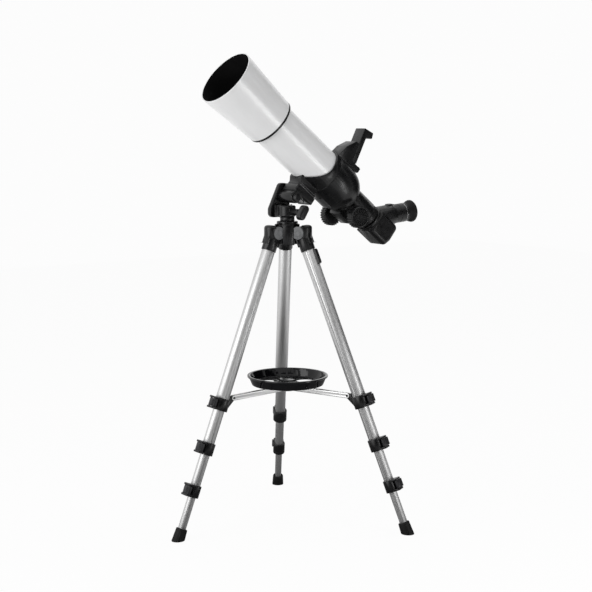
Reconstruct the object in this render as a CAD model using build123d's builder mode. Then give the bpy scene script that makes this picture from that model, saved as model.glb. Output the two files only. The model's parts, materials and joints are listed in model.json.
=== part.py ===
"""Small refractor telescope on a folding tripod, in millimetres.

Z is up from the floor, the pan axis is the Z axis, and the telescope points towards -Y.
Every piece is its own solid and is written to its own STEP file.
"""
import os
from math import cos, pi, radians, sin, sqrt, tan

from build123d import *

# Tripod legs
LEG_SPLAY = 21.2
LEG_AZIMUTHS = (270, 30, 150)
LEG_AXIS_OFFSET = 2.7
PIVOT_RADIUS = 24.0
LEG_TUBE_RADIUS = 11.0
LEG_TUBE_WALL = 1.0
LEG_SLIP_GAP = 0.5
FLUTE_CENTRE = 13.2
FLUTE_RADIUS = 3.7
UPPER_TUBE_START = 22.0
LOCK_1_DOWN = 295.2
LOCK_SPACING = (74.9, 71.4)
LAST_LOCK_TO_FLOOR = 82.9
SECTION_INSIDE = (205.0, 190.0, 175.0)

# Leg sockets and hinges
SOCKET_WALL = 1.2
SOCKET_END = 32.0
TONGUE_WIDTH = 16.0
TONGUE_RADIUS = 10.0
SHOULDER_OUTBOARD = 6.5
SHOULDER_RADIUS = 13.2
SHOULDER_DROP = 8.0
SHOULDER_RISE = 13.0
SHOULDER_ROUND = 5.0
SOCKET_TOP = 4.0
HINGE_PIN_RADIUS = 3.5
HINGE_COVER_RADIUS = 10.7
HINGE_COVER_FLAT = 6.8
HINGE_COVER_THICKNESS = 3.6

# Leg locks, levers and feet
LOCK_HEIGHT = 20.0
LOCK_WALL = 2.5
LOCK_EAR_THICKNESS = 3.2
LOCK_EAR_REACH = 6.5
LOCK_EAR_HALF_WIDTH = 9.0
LEVER_PIN_RADIUS = 1.2
LEVER_PIN_STANDOFF = 3.4
LEVER_PIN_SIDE = 5.5
LEVER_THICKNESS = 4.4
LEVER_LENGTH = 17.0
LEVER_TIP_FLARE = 1.2
FOOT_TOP_GRIP = 20.0
FOOT_TOP_RADIUS = 9.2
FOOT_FLOOR_RADIUS = 10.6
FOOT_EDGE_ROUND = 1.4

# Spreader and tray
SPREADER_PIN_INBOARD = 19.4
SPREADER_PIN_ABOVE_LOCK = 16.0
SPREADER_PIN_RADIUS = 1.75
SPREADER_LUG_RADIUS = 4.0
SPREADER_LUG_WIDTH = 5.4
SPREADER_ARM_HEIGHT = 8.0
SPREADER_ARM_WALL = 1.2
SPREADER_WEB_SETBACK = 12.0
SPREADER_RIVET_RADIUS = 2.6
SPREADER_RIVET_HEIGHT = 0.8
HUB_RISE = 4.0
HUB_PIVOT_RADIUS = 18.0
HUB_BOSS_RADIUS = 9.0
HUB_BOSS_DROP = 4.5
TRAY_ABOVE_HUB_PIVOT = 6.4
TRAY_DEPTH = 16.0
TRAY_FLOOR = 2.5
TRAY_WALL = 2.4
TRAY_FLOOR_RADIUS = 60.0
TRAY_RIM_RADIUS = 68.0
TRAY_RIM_HEIGHT = 3.0
TRAY_BOSS_RADIUS = 13.0
TRAY_BOSS_HEIGHT = 6.0
TRAY_STUD_RADIUS = 4.0
TRAY_HOLE_CIRCLE = 37.0
EYEPIECE_HOLE_RADIUS = 16.1
SMALL_HOLE_CIRCLE = 43.0
SMALL_HOLE_RADIUS = 12.4

# Crown
CROWN_ABOVE_PIVOT = 13.6
CROWN_BELOW_PIVOT = 20.0
FLANGE_RADIUS = 17.5
FLANGE_HEIGHT = 5.0
PAN_SPIGOT_RADIUS = 7.0
PAN_SPIGOT_LENGTH = 16.0

# Pan and tilt head
ALTITUDE = 39.0
TILT_ABOVE_FLANGE = 40.0
TILT_SETBACK = 4.0
COLUMN_RADIUS = 12.0
COLUMN_HEIGHT = 7.0
DRUM_RADIUS = 14.0
DRUM_HEIGHT = 19.0
DRUM_ROUND = 3.0
BRIDGE_HALF_DEPTH = 11.0
TILT_BARREL_RADIUS = 10.0
TILT_AXLE_RADIUS = 4.0
PLATFORM_HALF_WIDTH = 19.0
PLATFORM_FRONT = 9.0
PLATFORM_BACK = -34.0
PLATFORM_TOP = 21.0
PLATFORM_THICKNESS = 12.0
PLATFORM_EDGE_ROUND = 2.5
YOKE_ARM_THICKNESS = 9.0
YOKE_ARM_FRONT = 20.0
YOKE_ARM_BACK = -20.0
YOKE_ARM_SHOULDER = 20.0
YOKE_ARM_TOP = 62.0
YOKE_ARM_TOP_FRONT = 0.0
YOKE_ARM_TOP_BACK = -15.0
YOKE_ARM_BOTTOM = 5.5
YOKE_ARM_ROUND = 7.0
AXLE_HEAD_RADIUS = 7.0
AXLE_HEAD_HEIGHT = 3.0
PAN_LOCK_UP = 16.0
PAN_LOCK_SCREW_RADIUS = 3.0
PAN_LOCK_SCREW_START = 5.0
PAN_LOCK_STEM_RADIUS = 5.5
PAN_LOCK_STEM_START = 15.0
WING_START = 38.0
WING_LENGTH = 26.0
WING_WIDTH = 13.0
WING_THICKNESS = 12.0
WING_LEAN = 31.0
SCREW_AT = -20.5
SCREW_RADIUS = 3.1
SCREW_HOLE_RADIUS = 3.4
SCREW_HEAD_RADIUS = 7.0
SCREW_HEAD_HEIGHT = 5.0
SCREW_POCKET_DEPTH = 4.5
SCREW_ENGAGEMENT = 5.0

# Optical tube, placed along the optical axis from a point behind the tilt axis, forwards positive
AXIS_SETBACK = 12.9
TUBE_OVER_LENS = 2.4
TUBE_WALL = 1.2
TUBE_FRONT = 126.0
TUBE_BACK = -17.0
DEW_FRONT = 230.0
DEW_FLARE = 7.8
DEW_BACK = 122.6
DEW_OVER_TUBE = 5.2
DEW_WALL = 2.0
CELL_BACK = 119.0
CELL_FRONT = 138.0
CELL_STOP_THICKNESS = 2.0
CELL_STOP_LIP = 2.5
LENS_RADIUS = 35.0
FLINT_EDGE = 3.6
FLINT_HOLLOW = 1.6
CROWN_LENS_EDGE = 2.0
CROWN_LENS_BULGE = 2.6
LENS_AIR_GAP = 0.2
COLLAR_SEAM = -19.0
COLLAR_WALL = 2.6
COLLAR_EDGE_TOP = -5.5
COLLAR_EDGE_TURN = 6.0
COLLAR_TONGUE = 24.0
FOOT_PLATE_FRONT = 19.0
FOOT_PLATE_BACK = -18.0
FOOT_PLATE_THICKNESS = 6.0
FOOT_PLATE_HALF_WIDTH = 18.0
FOOT_STEM_FRONT = 24.0
FOOT_STEM_INSET = 3.0
FOOT_STEM_HALF_WIDTH = 17.0
FOOT_BELOW_COLLAR = 11.1

# Rear housing and focuser
HOUSING_SHOULDER = -52.0
HOUSING_BACK = -86.0
HOUSING_BACK_RIM = 2.2
HOUSING_WALL = 3.0
DRAW_RADIUS = 23.5
DRAW_BORE = 20.5
DRAW_FRONT = -35.0
DRAW_BACK = -130.0
DRAW_FIT = 0.08
NOSE_HOLDER_RADIUS = 21.0
NOSE_HOLDER_LENGTH = 12.0
NOSE_HOLDER_SEAT = 14.0
PINION_AT = -99.0
GEAR_MODULE = 1.0
PINION_TEETH = 10
TOOTH_TIP_WIDTH = 0.7
TOOTH_ROOT_WIDTH = 1.8
TOOTH_ADDENDUM = 0.75
TOOTH_DEDENDUM = 1.05
RACK_HALF_WIDTH = 4.0
RACK_DEPTH_UNDER_SKIN = 1.0
RACK_FRONT_TEETH = 12
RACK_BACK_TEETH = 9
SHAFT_RADIUS = 2.5
BRACKET_FRONT = -78.0
BRACKET_BACK = -112.0
BRACKET_HALF_WIDTH = 14.0
BRACKET_WALL = 4.0
BRACKET_ROUND = 4.0
KNOB_CENTRE_SIDE = 38.0
KNOB_WIDTH = 14.0
KNOB_RADIUS = 19.0
KNOB_GROOVES = 24
KNOB_GROOVE_RADIUS = 1.3
KNOB_HUB_RADIUS = 7.0
KNOB_FACE_RECESS = 1.5

# Diagonal and eyepiece, the eyepiece axis crossing the optical axis at the flange
NOSE_RADIUS = 15.9
NOSE_WALL = 1.6
NOSE_LENGTH = 20.0
FLANGE_RING_RADIUS = 24.5
FLANGE_RING_THICKNESS = 5.0
DIAGONAL_BACK = -195.0
DIAGONAL_HALF_WIDTH = 22.0
DIAGONAL_BOTTOM = -24.0
DIAGONAL_TOP = 20.0
DIAGONAL_HEEL = -190.0
DIAGONAL_HEEL_UP = -10.0
DIAGONAL_WALL = 4.0
DIAGONAL_ROUND = 9.0
DIAGONAL_SIDE_ROUND = 8.0
BEND = 45.0
HOLDER_RADIUS = 18.0
HOLDER_END = 52.0
HOLDER_BORE_START = 32.0
EYEPIECE_RADIUS = 16.5
EYEPIECE_END = 80.0
EYEPIECE_WALL = 4.0
EYECUP_END = 95.5
EYECUP_WAIST_RADIUS = 15.6
EYECUP_LIP_RADIUS = 19.5
EYECUP_BORE = 11.5
EYECUP_ROUND = 1.0
EYE_LENS_AT = 74.0
FIELD_LENS_AT = 62.0
EYE_LENS_THICKNESS = 5.0
EYE_LENS_BULGE = 1.2
PRISM_HALF_WIDTH = 14.0
PRISM_SETBACK = 6.5
PRISM_LENGTH = 26.0
HOLDER_START = 14.5
HOLDER_PATH_RADIUS = 13.0
BOSS_AT = 46.0
BOSS_RADIUS = 6.0
BOSS_HEIGHT = 1.2
EYECUP_WAIST_LENGTH = 4.0
EYECUP_FLARE = 8.5

# Phone cradle on the housing, leaning back from square to the tube, heights from the housing's skin
CRADLE_LEAN = 12.5
CRADLE_FRONT = -15.0
CRADLE_SINK = 4.0
CRADLE_NECK = -20.0
CRADLE_NECK_RISE = 20.5
CRADLE_ROUND = 3.0
CRADLE_REST = -46.0
CRADLE_RISE = 40.0
CRADLE_TOP_AT = -31.0
CRADLE_HALF_WIDTH = 15.0
LEDGE_RISE = 7.0
LEDGE_BACK = -65.0
LEDGE_LIP = 2.0
LEDGE_LIP_THICKNESS = 4.0
JAW_START = 1.0
JAW_THICKNESS = 9.5
JAW_HALF_WIDTH = 13.0
JAW_HEIGHT = 63.6
JAW_HOOK_REACH = 12.0
JAW_HOOK_UNDER = 49.6
JAW_HOOK_TIP = 53.6
JAW_ROUND = 1.6
TONGUE_HALF_WIDTH = 6.0
TONGUE_DEPTH = 7.0
TONGUE_LENGTH = 9.0
TONGUE_START = -4.0
JAW_TRAVEL = 20.0

# Shared clearances
RUNNING = 0.06
SIDE_GAP = 0.3

# Worked out from the sizes above
splay_sin = sin(radians(LEG_SPLAY))
splay_cos = cos(radians(LEG_SPLAY))
tube_step = LEG_TUBE_WALL + LEG_SLIP_GAP
lock_down = (LOCK_1_DOWN, LOCK_1_DOWN + LOCK_SPACING[0], LOCK_1_DOWN + sum(LOCK_SPACING))
leg_length = lock_down[2] + LAST_LOCK_TO_FLOOR
pivot_height = leg_length * splay_cos - LEG_AXIS_OFFSET * splay_sin
cover_inner = TONGUE_WIDTH / 2 + SIDE_GAP
cover_outer = cover_inner + HINGE_COVER_THICKNESS
crown_flat = PIVOT_RADIUS - HINGE_COVER_FLAT
crown_radius = sqrt(crown_flat**2 + cover_outer**2)
crown_top = pivot_height + CROWN_ABOVE_PIVOT
flange_top = crown_top + FLANGE_HEIGHT
spreader_down = LOCK_1_DOWN - SPREADER_PIN_ABOVE_LOCK
spreader_offset = LEG_AXIS_OFFSET - SPREADER_PIN_INBOARD
spreader_pin_radius_at = PIVOT_RADIUS + spreader_offset * splay_cos + spreader_down * splay_sin
spreader_pin_height = pivot_height + spreader_offset * splay_sin - spreader_down * splay_cos
hub_pivot_height = spreader_pin_height + HUB_RISE
tray_bottom = hub_pivot_height + TRAY_ABOVE_HUB_PIVOT
arm_inner_width = SPREADER_LUG_WIDTH + 2 * SIDE_GAP
arm_width = arm_inner_width + 2 * SPREADER_ARM_WALL

tube_radius = LENS_RADIUS + TUBE_OVER_LENS
dew_back_radius = tube_radius + DEW_OVER_TUBE
dew_front_radius = dew_back_radius + DEW_FLARE
collar_radius = tube_radius + COLLAR_WALL
housing_back_radius = DRAW_RADIUS + HOUSING_BACK_RIM
ledge_up = collar_radius + LEDGE_RISE
axis_above_tilt = PLATFORM_TOP + FOOT_BELOW_COLLAR + collar_radius
tilt_height = flange_top + TILT_ABOVE_FLANGE
pan_lock_height = flange_top + PAN_LOCK_UP
forward = Vector(0, -cos(radians(ALTITUDE)), sin(radians(ALTITUDE)))
upward = Vector(0, sin(radians(ALTITUDE)), cos(radians(ALTITUDE)))
tilt_point = Vector(0, TILT_SETBACK, tilt_height)
axis_point = tilt_point + upward * axis_above_tilt - forward * AXIS_SETBACK
tilt_side = Plane(tilt_point, x_dir=forward, z_dir=(-1, 0, 0))
screw_plane = Plane(tilt_point + forward * SCREW_AT, x_dir=(1, 0, 0), z_dir=upward)
tube_side = Plane(axis_point, x_dir=forward, z_dir=(-1, 0, 0))
optical_axis = Axis(axis_point, forward)
foot_bottom = -collar_radius - FOOT_BELOW_COLLAR
pitch_radius = GEAR_MODULE * PINION_TEETH / 2
rack_pitch_line = -DRAW_RADIUS + RACK_DEPTH_UNDER_SKIN
pinion_up = rack_pitch_line - pitch_radius
tooth_pitch = GEAR_MODULE * pi
draw_end = DRAW_BACK - NOSE_HOLDER_LENGTH
flange_front = draw_end - SIDE_GAP
bend_at = flange_front - FLANGE_RING_THICKNESS / 2
eye_way = upward * sin(radians(BEND)) - forward * cos(radians(BEND))
eye_side = Plane(axis_point + forward * bend_at, x_dir=eye_way, z_dir=(-1, 0, 0))
eye_axis = Axis(eye_side.origin, eye_way)


def finish(piece, name):
    """Label a finished piece and write it to its own file."""
    piece.label = name
    export_step(piece, f"parts/{name}.step")


def spoke(azimuth):
    """Level unit vector away from the pan axis."""
    return Vector(cos(radians(azimuth)), sin(radians(azimuth)), 0)


def leg_up(azimuth):
    """Unit vector up along a leg."""
    return Vector(0, 0, splay_cos) - spoke(azimuth) * splay_sin


def leg_out(azimuth):
    """Unit vector square to a leg, away from the pan axis."""
    return Vector(0, 0, splay_sin) + spoke(azimuth) * splay_cos


def hinge_point(azimuth):
    return spoke(azimuth) * PIVOT_RADIUS + Vector(0, 0, pivot_height)


def leg_section(azimuth, down):
    """Plane across a leg: X outwards, Y sideways, Z up the leg, its origin on the leg's axis."""
    origin = hinge_point(azimuth) + leg_out(azimuth) * LEG_AXIS_OFFSET - leg_up(azimuth) * down
    return Plane(origin, x_dir=leg_out(azimuth), z_dir=leg_up(azimuth))


def leg_side(azimuth):
    """Plane along a leg through its hinge: X outwards, Y up the leg."""
    normal = leg_out(azimuth).cross(leg_up(azimuth))
    return Plane(hinge_point(azimuth), x_dir=leg_out(azimuth), z_dir=normal)


def across_tube(along):
    """Plane across the optical axis: X to the near side, Y up, Z forwards."""
    return Plane(axis_point + forward * along, x_dir=(1, 0, 0), z_dir=forward)


def beside_tilt(side):
    """Upright plane square to the tilt axis: X backwards, Y up from the tilt axis, Z to the near side."""
    return Plane(tilt_point + Vector(side, 0, 0), x_dir=(0, 1, 0), z_dir=(1, 0, 0))


def beside_pan_lock(side):
    """Upright plane square to the pan lock: X backwards, Y up from its screw, Z to the near side."""
    return Plane((side, 0, pan_lock_height), x_dir=(0, 1, 0), z_dir=(1, 0, 0))


def spoke_side(azimuth, radius, height):
    """Upright plane along a spoke: X away from the pan axis, Y up."""
    normal = spoke(azimuth).cross(Vector(0, 0, 1))
    return Plane(spoke(azimuth) * radius + Vector(0, 0, height), x_dir=spoke(azimuth), z_dir=normal)


def fluted_outline(radius, flute):
    """Round outline with one hollow flute on each side, inside an open sketch."""
    Circle(radius)
    with Locations((0, FLUTE_CENTRE), (0, -FLUTE_CENTRE)):
        Circle(flute, mode=Mode.SUBTRACT)


def fluted_tube(azimuth, level, top, bottom):
    """One leg tube between two places down the leg; level 0 is the widest tube."""
    radius = LEG_TUBE_RADIUS - level * tube_step
    flute = FLUTE_RADIUS + level * tube_step
    with BuildPart() as tube:
        with BuildSketch(leg_section(azimuth, bottom)):
            fluted_outline(radius, flute)
        extrude(amount=bottom - top)
        with BuildSketch(leg_section(azimuth, bottom)):
            fluted_outline(radius - LEG_TUBE_WALL, flute + LEG_TUBE_WALL)
        extrude(amount=bottom - top, mode=Mode.SUBTRACT)
    return tube.part


def lock_collar(azimuth, level):
    """Collar clamped round the lower end of one tube, with two ears for its lever pin."""
    tube_radius = LEG_TUBE_RADIUS - level * tube_step
    outer = tube_radius + LOCK_WALL
    middle = lock_down[level]
    ear_end = outer + LOCK_EAR_REACH
    with BuildPart() as collar:
        with BuildSketch(leg_section(azimuth, middle + LOCK_HEIGHT / 2)):
            Circle(outer)
        extrude(amount=LOCK_HEIGHT)
        for ear in (LOCK_HEIGHT / 2, LOCK_EAR_THICKNESS - LOCK_HEIGHT / 2):
            with BuildSketch(leg_section(azimuth, middle + ear)):
                with Locations((ear_end / 2, 0)):
                    Rectangle(ear_end, 2 * LOCK_EAR_HALF_WIDTH)
                fillet(vertices().group_by(Axis.X)[-1], LOCK_EAR_REACH / 3)
            extrude(amount=LOCK_EAR_THICKNESS)
        with BuildSketch(leg_section(azimuth, middle + LOCK_HEIGHT / 2)):
            with Locations((outer + LEVER_PIN_STANDOFF, -LEVER_PIN_SIDE)):
                Circle(LEVER_PIN_RADIUS)
        extrude(amount=LOCK_HEIGHT)
        with BuildSketch(leg_section(azimuth, middle)):
            Circle(tube_radius)
        extrude(amount=LOCK_HEIGHT, mode=Mode.SUBTRACT)
        with BuildSketch(leg_section(azimuth, middle + LOCK_HEIGHT)):
            Circle(tube_radius - tube_step + SIDE_GAP)
        extrude(amount=LOCK_HEIGHT * 2, mode=Mode.SUBTRACT)
    return collar.part


def lock_lever(azimuth, level):
    """Flip lever between the two ears of a lock collar, turning on the collar's pin."""
    outer = LEG_TUBE_RADIUS - level * tube_step + LOCK_WALL
    height = LOCK_HEIGHT - 2 * LOCK_EAR_THICKNESS - 2 * SIDE_GAP
    pin_x = outer + LEVER_PIN_STANDOFF
    half = LEVER_THICKNESS / 2
    with BuildPart() as lever:
        with BuildSketch(leg_section(azimuth, lock_down[level] + height / 2)):
            with Locations((pin_x, -LEVER_PIN_SIDE)):
                Circle(half)
            with BuildLine():
                Polyline(
                    (pin_x - half, -LEVER_PIN_SIDE),
                    (pin_x + half, -LEVER_PIN_SIDE),
                    (pin_x + half + LEVER_TIP_FLARE, LEVER_LENGTH - LEVER_PIN_SIDE),
                    (pin_x - half, LEVER_LENGTH - LEVER_PIN_SIDE),
                    close=True,
                )
            make_face()
            with Locations((pin_x, -LEVER_PIN_SIDE)):
                Circle(LEVER_PIN_RADIUS + RUNNING, mode=Mode.SUBTRACT)
        extrude(amount=height)
    return lever.part


def leg_fittings(azimuth):
    """Black socket at the top of a leg and the upper lock collar with its spreader bracket."""
    sleeve = LEG_TUBE_RADIUS + SOCKET_WALL
    with BuildPart() as fittings:
        with BuildSketch(leg_side(azimuth)):
            Circle(TONGUE_RADIUS)
            with BuildLine():
                Polyline(
                    (-TONGUE_RADIUS, 0),
                    (LEG_AXIS_OFFSET + sleeve, 0),
                    (LEG_AXIS_OFFSET + sleeve, -UPPER_TUBE_START),
                    (LEG_AXIS_OFFSET - sleeve, -UPPER_TUBE_START),
                    close=True,
                )
            make_face()
        extrude(amount=TONGUE_WIDTH / 2, both=True)
        shoulder_middle = hinge_point(azimuth) + spoke(azimuth) * SHOULDER_OUTBOARD
        shoulder_floor = Plane(shoulder_middle, x_dir=spoke(azimuth), z_dir=(0, 0, 1)).offset(-SHOULDER_DROP)
        with BuildSketch(shoulder_floor):
            Circle(SHOULDER_RADIUS)
            with Locations((-SHOULDER_RADIUS, 0)):
                Rectangle(2 * SHOULDER_RADIUS, 2 * SHOULDER_RADIUS, mode=Mode.SUBTRACT)
        extrude(amount=SHOULDER_DROP + SHOULDER_RISE)
        fillet(edges().filter_by(GeomType.CIRCLE).sort_by(Axis.Z)[-1], SHOULDER_ROUND)
        with BuildSketch(leg_section(azimuth, SOCKET_END)):
            Circle(sleeve)
        extrude(amount=SOCKET_END - SOCKET_TOP)
        for side in (1, -1):
            with BuildSketch(leg_side(azimuth).offset(side * TONGUE_WIDTH / 2)):
                Circle(HINGE_COVER_RADIUS + 2 * SIDE_GAP)
            extrude(amount=side * SHOULDER_RADIUS, mode=Mode.SUBTRACT)
        with BuildSketch(leg_section(azimuth, SOCKET_END)):
            Circle(LEG_TUBE_RADIUS)
        extrude(amount=SOCKET_END - UPPER_TUBE_START, mode=Mode.SUBTRACT)
        with BuildSketch(leg_side(azimuth)):
            Circle(HINGE_PIN_RADIUS + RUNNING)
        extrude(amount=TONGUE_WIDTH, both=True, mode=Mode.SUBTRACT)
        add(lock_collar(azimuth, 0))
        with BuildSketch(leg_side(azimuth)):
            with Locations((spreader_offset, -spreader_down)):
                Circle(SPREADER_LUG_RADIUS)
            with BuildLine():
                inner_x = spreader_offset - SPREADER_LUG_RADIUS
                root_x = LEG_AXIS_OFFSET - LEG_TUBE_RADIUS - LOCK_WALL / 2
                Polyline(
                    (inner_x, -spreader_down),
                    (root_x, -spreader_down + SPREADER_LUG_RADIUS / 2),
                    (root_x, -LOCK_1_DOWN - LOCK_HEIGHT / 3),
                    close=True,
                )
            make_face()
        extrude(amount=SPREADER_LUG_WIDTH / 2, both=True)
        with BuildSketch(leg_side(azimuth)):
            with Locations((spreader_offset, -spreader_down)):
                Circle(SPREADER_PIN_RADIUS)
        extrude(amount=arm_width / 2 + SPREADER_RIVET_HEIGHT, both=True)
    return fittings.part


def leg_foot(azimuth):
    """Rubber cup on the lowest tube, cut level where it stands."""
    start = leg_length - FOOT_TOP_GRIP
    lowest_radius = LEG_TUBE_RADIUS - 3 * tube_step
    past_floor = FOOT_FLOOR_RADIUS * splay_sin / splay_cos + FOOT_EDGE_ROUND
    with BuildPart() as foot:
        with BuildSketch(leg_section(azimuth, start)):
            Circle(FOOT_TOP_RADIUS)
        with BuildSketch(leg_section(azimuth, leg_length + past_floor)):
            Circle(FOOT_FLOOR_RADIUS)
        loft()
        fillet(edges().filter_by(GeomType.CIRCLE).group_by(Axis.Z)[-1], FOOT_EDGE_ROUND)
        split(bisect_by=Plane.XY, keep=Keep.TOP)
        with BuildSketch(leg_section(azimuth, tube_end(3))):
            Circle(lowest_radius)
        extrude(amount=FOOT_TOP_GRIP, mode=Mode.SUBTRACT)
    return foot.part


def tube_end(level):
    """Lower end of a leg tube, as a distance down the leg."""
    if level < 3:
        return lock_down[level]
    return leg_length - FOOT_TOP_GRIP / 2


def tube_top(level):
    """Upper end of a leg tube, as a distance down the leg."""
    if level == 0:
        return UPPER_TUBE_START
    return lock_down[level - 1] - SECTION_INSIDE[level - 1]


def spreader_arm(azimuth):
    """Channel that is open on top, with its web cut back so that both ends are pairs of ears."""
    run = spreader_pin_radius_at - HUB_PIVOT_RADIUS
    length = sqrt(run**2 + HUB_RISE**2)
    along = (spoke(azimuth) * run - Vector(0, 0, HUB_RISE)) * (1 / length)
    normal = along.cross(Vector(0, 0, 1)).normalized()
    start = spoke(azimuth) * HUB_PIVOT_RADIUS + Vector(0, 0, hub_pivot_height)
    side = Plane(start, x_dir=along, z_dir=normal)
    half = SPREADER_ARM_HEIGHT / 2
    with BuildPart() as arm:
        with BuildSketch(side):
            with Locations((length / 2, 0)):
                SlotCenterToCenter(length, SPREADER_ARM_HEIGHT)
        extrude(amount=arm_width / 2, both=True)
        with BuildSketch(side):
            with Locations((length / 2, 0)):
                Rectangle(length + 2 * SPREADER_ARM_HEIGHT, 2 * SPREADER_ARM_HEIGHT)
            with Locations((length / 2, SPREADER_ARM_WALL / 2 - half)):
                Rectangle(length - 2 * SPREADER_WEB_SETBACK, SPREADER_ARM_WALL, mode=Mode.SUBTRACT)
        extrude(amount=arm_inner_width / 2, both=True, mode=Mode.SUBTRACT)
        for face in (arm_width / 2, -arm_width / 2 - SPREADER_RIVET_HEIGHT):
            with BuildSketch(side.offset(face)):
                Circle(SPREADER_RIVET_RADIUS)
            extrude(amount=SPREADER_RIVET_HEIGHT)
        with BuildSketch(side):
            with Locations((length, 0)):
                Circle(SPREADER_PIN_RADIUS + RUNNING)
        extrude(amount=arm_width, both=True, mode=Mode.SUBTRACT)
    return arm.part


os.makedirs("parts", exist_ok=True)

# Crown: a three-sided core with a slot for each leg, under a round flange
with BuildPart() as crown:
    with BuildSketch(Plane.XY.offset(pivot_height - CROWN_BELOW_PIVOT)):
        Circle(crown_radius)
        for azimuth in LEG_AZIMUTHS:
            with Locations(Location((0, 0, 0), (0, 0, azimuth))):
                with Locations((crown_flat + crown_radius, 0)):
                    Rectangle(2 * crown_radius, 4 * crown_radius, mode=Mode.SUBTRACT)
                slot_start = PIVOT_RADIUS - TONGUE_RADIUS - 2 * SIDE_GAP
                with Locations((slot_start + crown_radius, 0)):
                    Rectangle(2 * crown_radius, TONGUE_WIDTH + 2 * SIDE_GAP, mode=Mode.SUBTRACT)
    extrude(amount=CROWN_ABOVE_PIVOT + CROWN_BELOW_PIVOT)
    with BuildSketch(Plane.XY.offset(crown_top)):
        Circle(FLANGE_RADIUS)
    extrude(amount=FLANGE_HEIGHT)
    fillet(edges().filter_by(GeomType.CIRCLE).group_by(Axis.Z)[-1], FLANGE_HEIGHT / 4)
    with BuildSketch(Plane.XY.offset(flange_top)):
        Circle(PAN_SPIGOT_RADIUS + RUNNING)
    extrude(amount=-PAN_SPIGOT_LENGTH - SIDE_GAP, mode=Mode.SUBTRACT)
finish(crown.part, "crown")

# Hinge pins, each with a D-shaped cover at both ends
with BuildPart() as hinge_pins:
    for azimuth in LEG_AZIMUTHS:
        upright = spoke_side(azimuth, PIVOT_RADIUS, pivot_height)
        with BuildSketch(upright):
            Circle(HINGE_PIN_RADIUS)
        extrude(amount=cover_outer, both=True)
        for face in (cover_inner, -cover_outer):
            with BuildSketch(upright.offset(face)):
                Circle(HINGE_COVER_RADIUS)
                with Locations((-HINGE_COVER_FLAT - HINGE_COVER_RADIUS, 0)):
                    Rectangle(2 * HINGE_COVER_RADIUS, 4 * HINGE_COVER_RADIUS, mode=Mode.SUBTRACT)
            extrude(amount=HINGE_COVER_THICKNESS)
finish(hinge_pins.part, "hinge_pins")

# Legs
for number, azimuth in enumerate(LEG_AZIMUTHS, start=1):
    finish(leg_fittings(azimuth), f"leg{number}_fittings")
    for level in range(4):
        finish(fluted_tube(azimuth, level, tube_top(level), tube_end(level)), f"leg{number}_tube{level + 1}")
    for level in (1, 2):
        finish(lock_collar(azimuth, level), f"leg{number}_lock{level + 1}")
    for level in range(3):
        finish(lock_lever(azimuth, level), f"leg{number}_lever{level + 1}")
    finish(leg_foot(azimuth), f"leg{number}_foot")
    finish(spreader_arm(azimuth), f"spreader_arm{number}")

# Spreader hub: boss, three thin lugs between the arms' ears, and the tray's stud
with BuildPart() as spreader_hub:
    with BuildSketch(Plane.XY.offset(hub_pivot_height - HUB_BOSS_DROP)):
        Circle(HUB_BOSS_RADIUS)
    extrude(amount=HUB_BOSS_DROP + TRAY_ABOVE_HUB_PIVOT)
    for azimuth in LEG_AZIMUTHS:
        with BuildSketch(spoke_side(azimuth, 0, hub_pivot_height)):
            with Locations((HUB_PIVOT_RADIUS / 2, 0)):
                SlotCenterToCenter(HUB_PIVOT_RADIUS, 2 * SPREADER_LUG_RADIUS)
        extrude(amount=SPREADER_LUG_WIDTH / 2, both=True)
    with BuildSketch(Plane.XY.offset(tray_bottom)):
        Circle(TRAY_STUD_RADIUS)
    extrude(amount=TRAY_FLOOR + TRAY_BOSS_HEIGHT - 2 * SIDE_GAP - TRAY_FLOOR / 2)
finish(spreader_hub.part, "spreader_hub")

# Tray: floor with eyepiece holes, slanted wall, flat rim and a centre boss over the stud
with BuildPart() as tray:
    with BuildSketch(Plane.XZ):
        with BuildLine():
            Polyline(
                (0, tray_bottom),
                (TRAY_FLOOR_RADIUS, tray_bottom),
                (TRAY_RIM_RADIUS - TRAY_WALL, tray_bottom + TRAY_DEPTH - TRAY_RIM_HEIGHT),
                (TRAY_RIM_RADIUS, tray_bottom + TRAY_DEPTH - TRAY_RIM_HEIGHT),
                (TRAY_RIM_RADIUS, tray_bottom + TRAY_DEPTH),
                (TRAY_RIM_RADIUS - 2 * TRAY_WALL, tray_bottom + TRAY_DEPTH),
                (TRAY_FLOOR_RADIUS - TRAY_WALL, tray_bottom + TRAY_FLOOR),
                (TRAY_BOSS_RADIUS, tray_bottom + TRAY_FLOOR),
                (TRAY_BOSS_RADIUS, tray_bottom + TRAY_FLOOR + TRAY_BOSS_HEIGHT),
                (0, tray_bottom + TRAY_FLOOR + TRAY_BOSS_HEIGHT),
                close=True,
            )
        make_face()
    revolve(axis=Axis.Z)
    with BuildSketch(Plane.XY.offset(tray_bottom)):
        with PolarLocations(TRAY_HOLE_CIRCLE, len(LEG_AZIMUTHS), start_angle=LEG_AZIMUTHS[0] + 180):
            Circle(EYEPIECE_HOLE_RADIUS)
        with PolarLocations(SMALL_HOLE_CIRCLE, len(LEG_AZIMUTHS), start_angle=LEG_AZIMUTHS[0]):
            Circle(SMALL_HOLE_RADIUS)
    extrude(amount=TRAY_FLOOR, mode=Mode.SUBTRACT)
    with BuildSketch(Plane.XY.offset(tray_bottom)):
        Circle(TRAY_STUD_RADIUS + RUNNING)
    extrude(amount=TRAY_FLOOR + TRAY_BOSS_HEIGHT - TRAY_FLOOR / 2, mode=Mode.SUBTRACT)
finish(tray.part, "tray")


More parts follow.
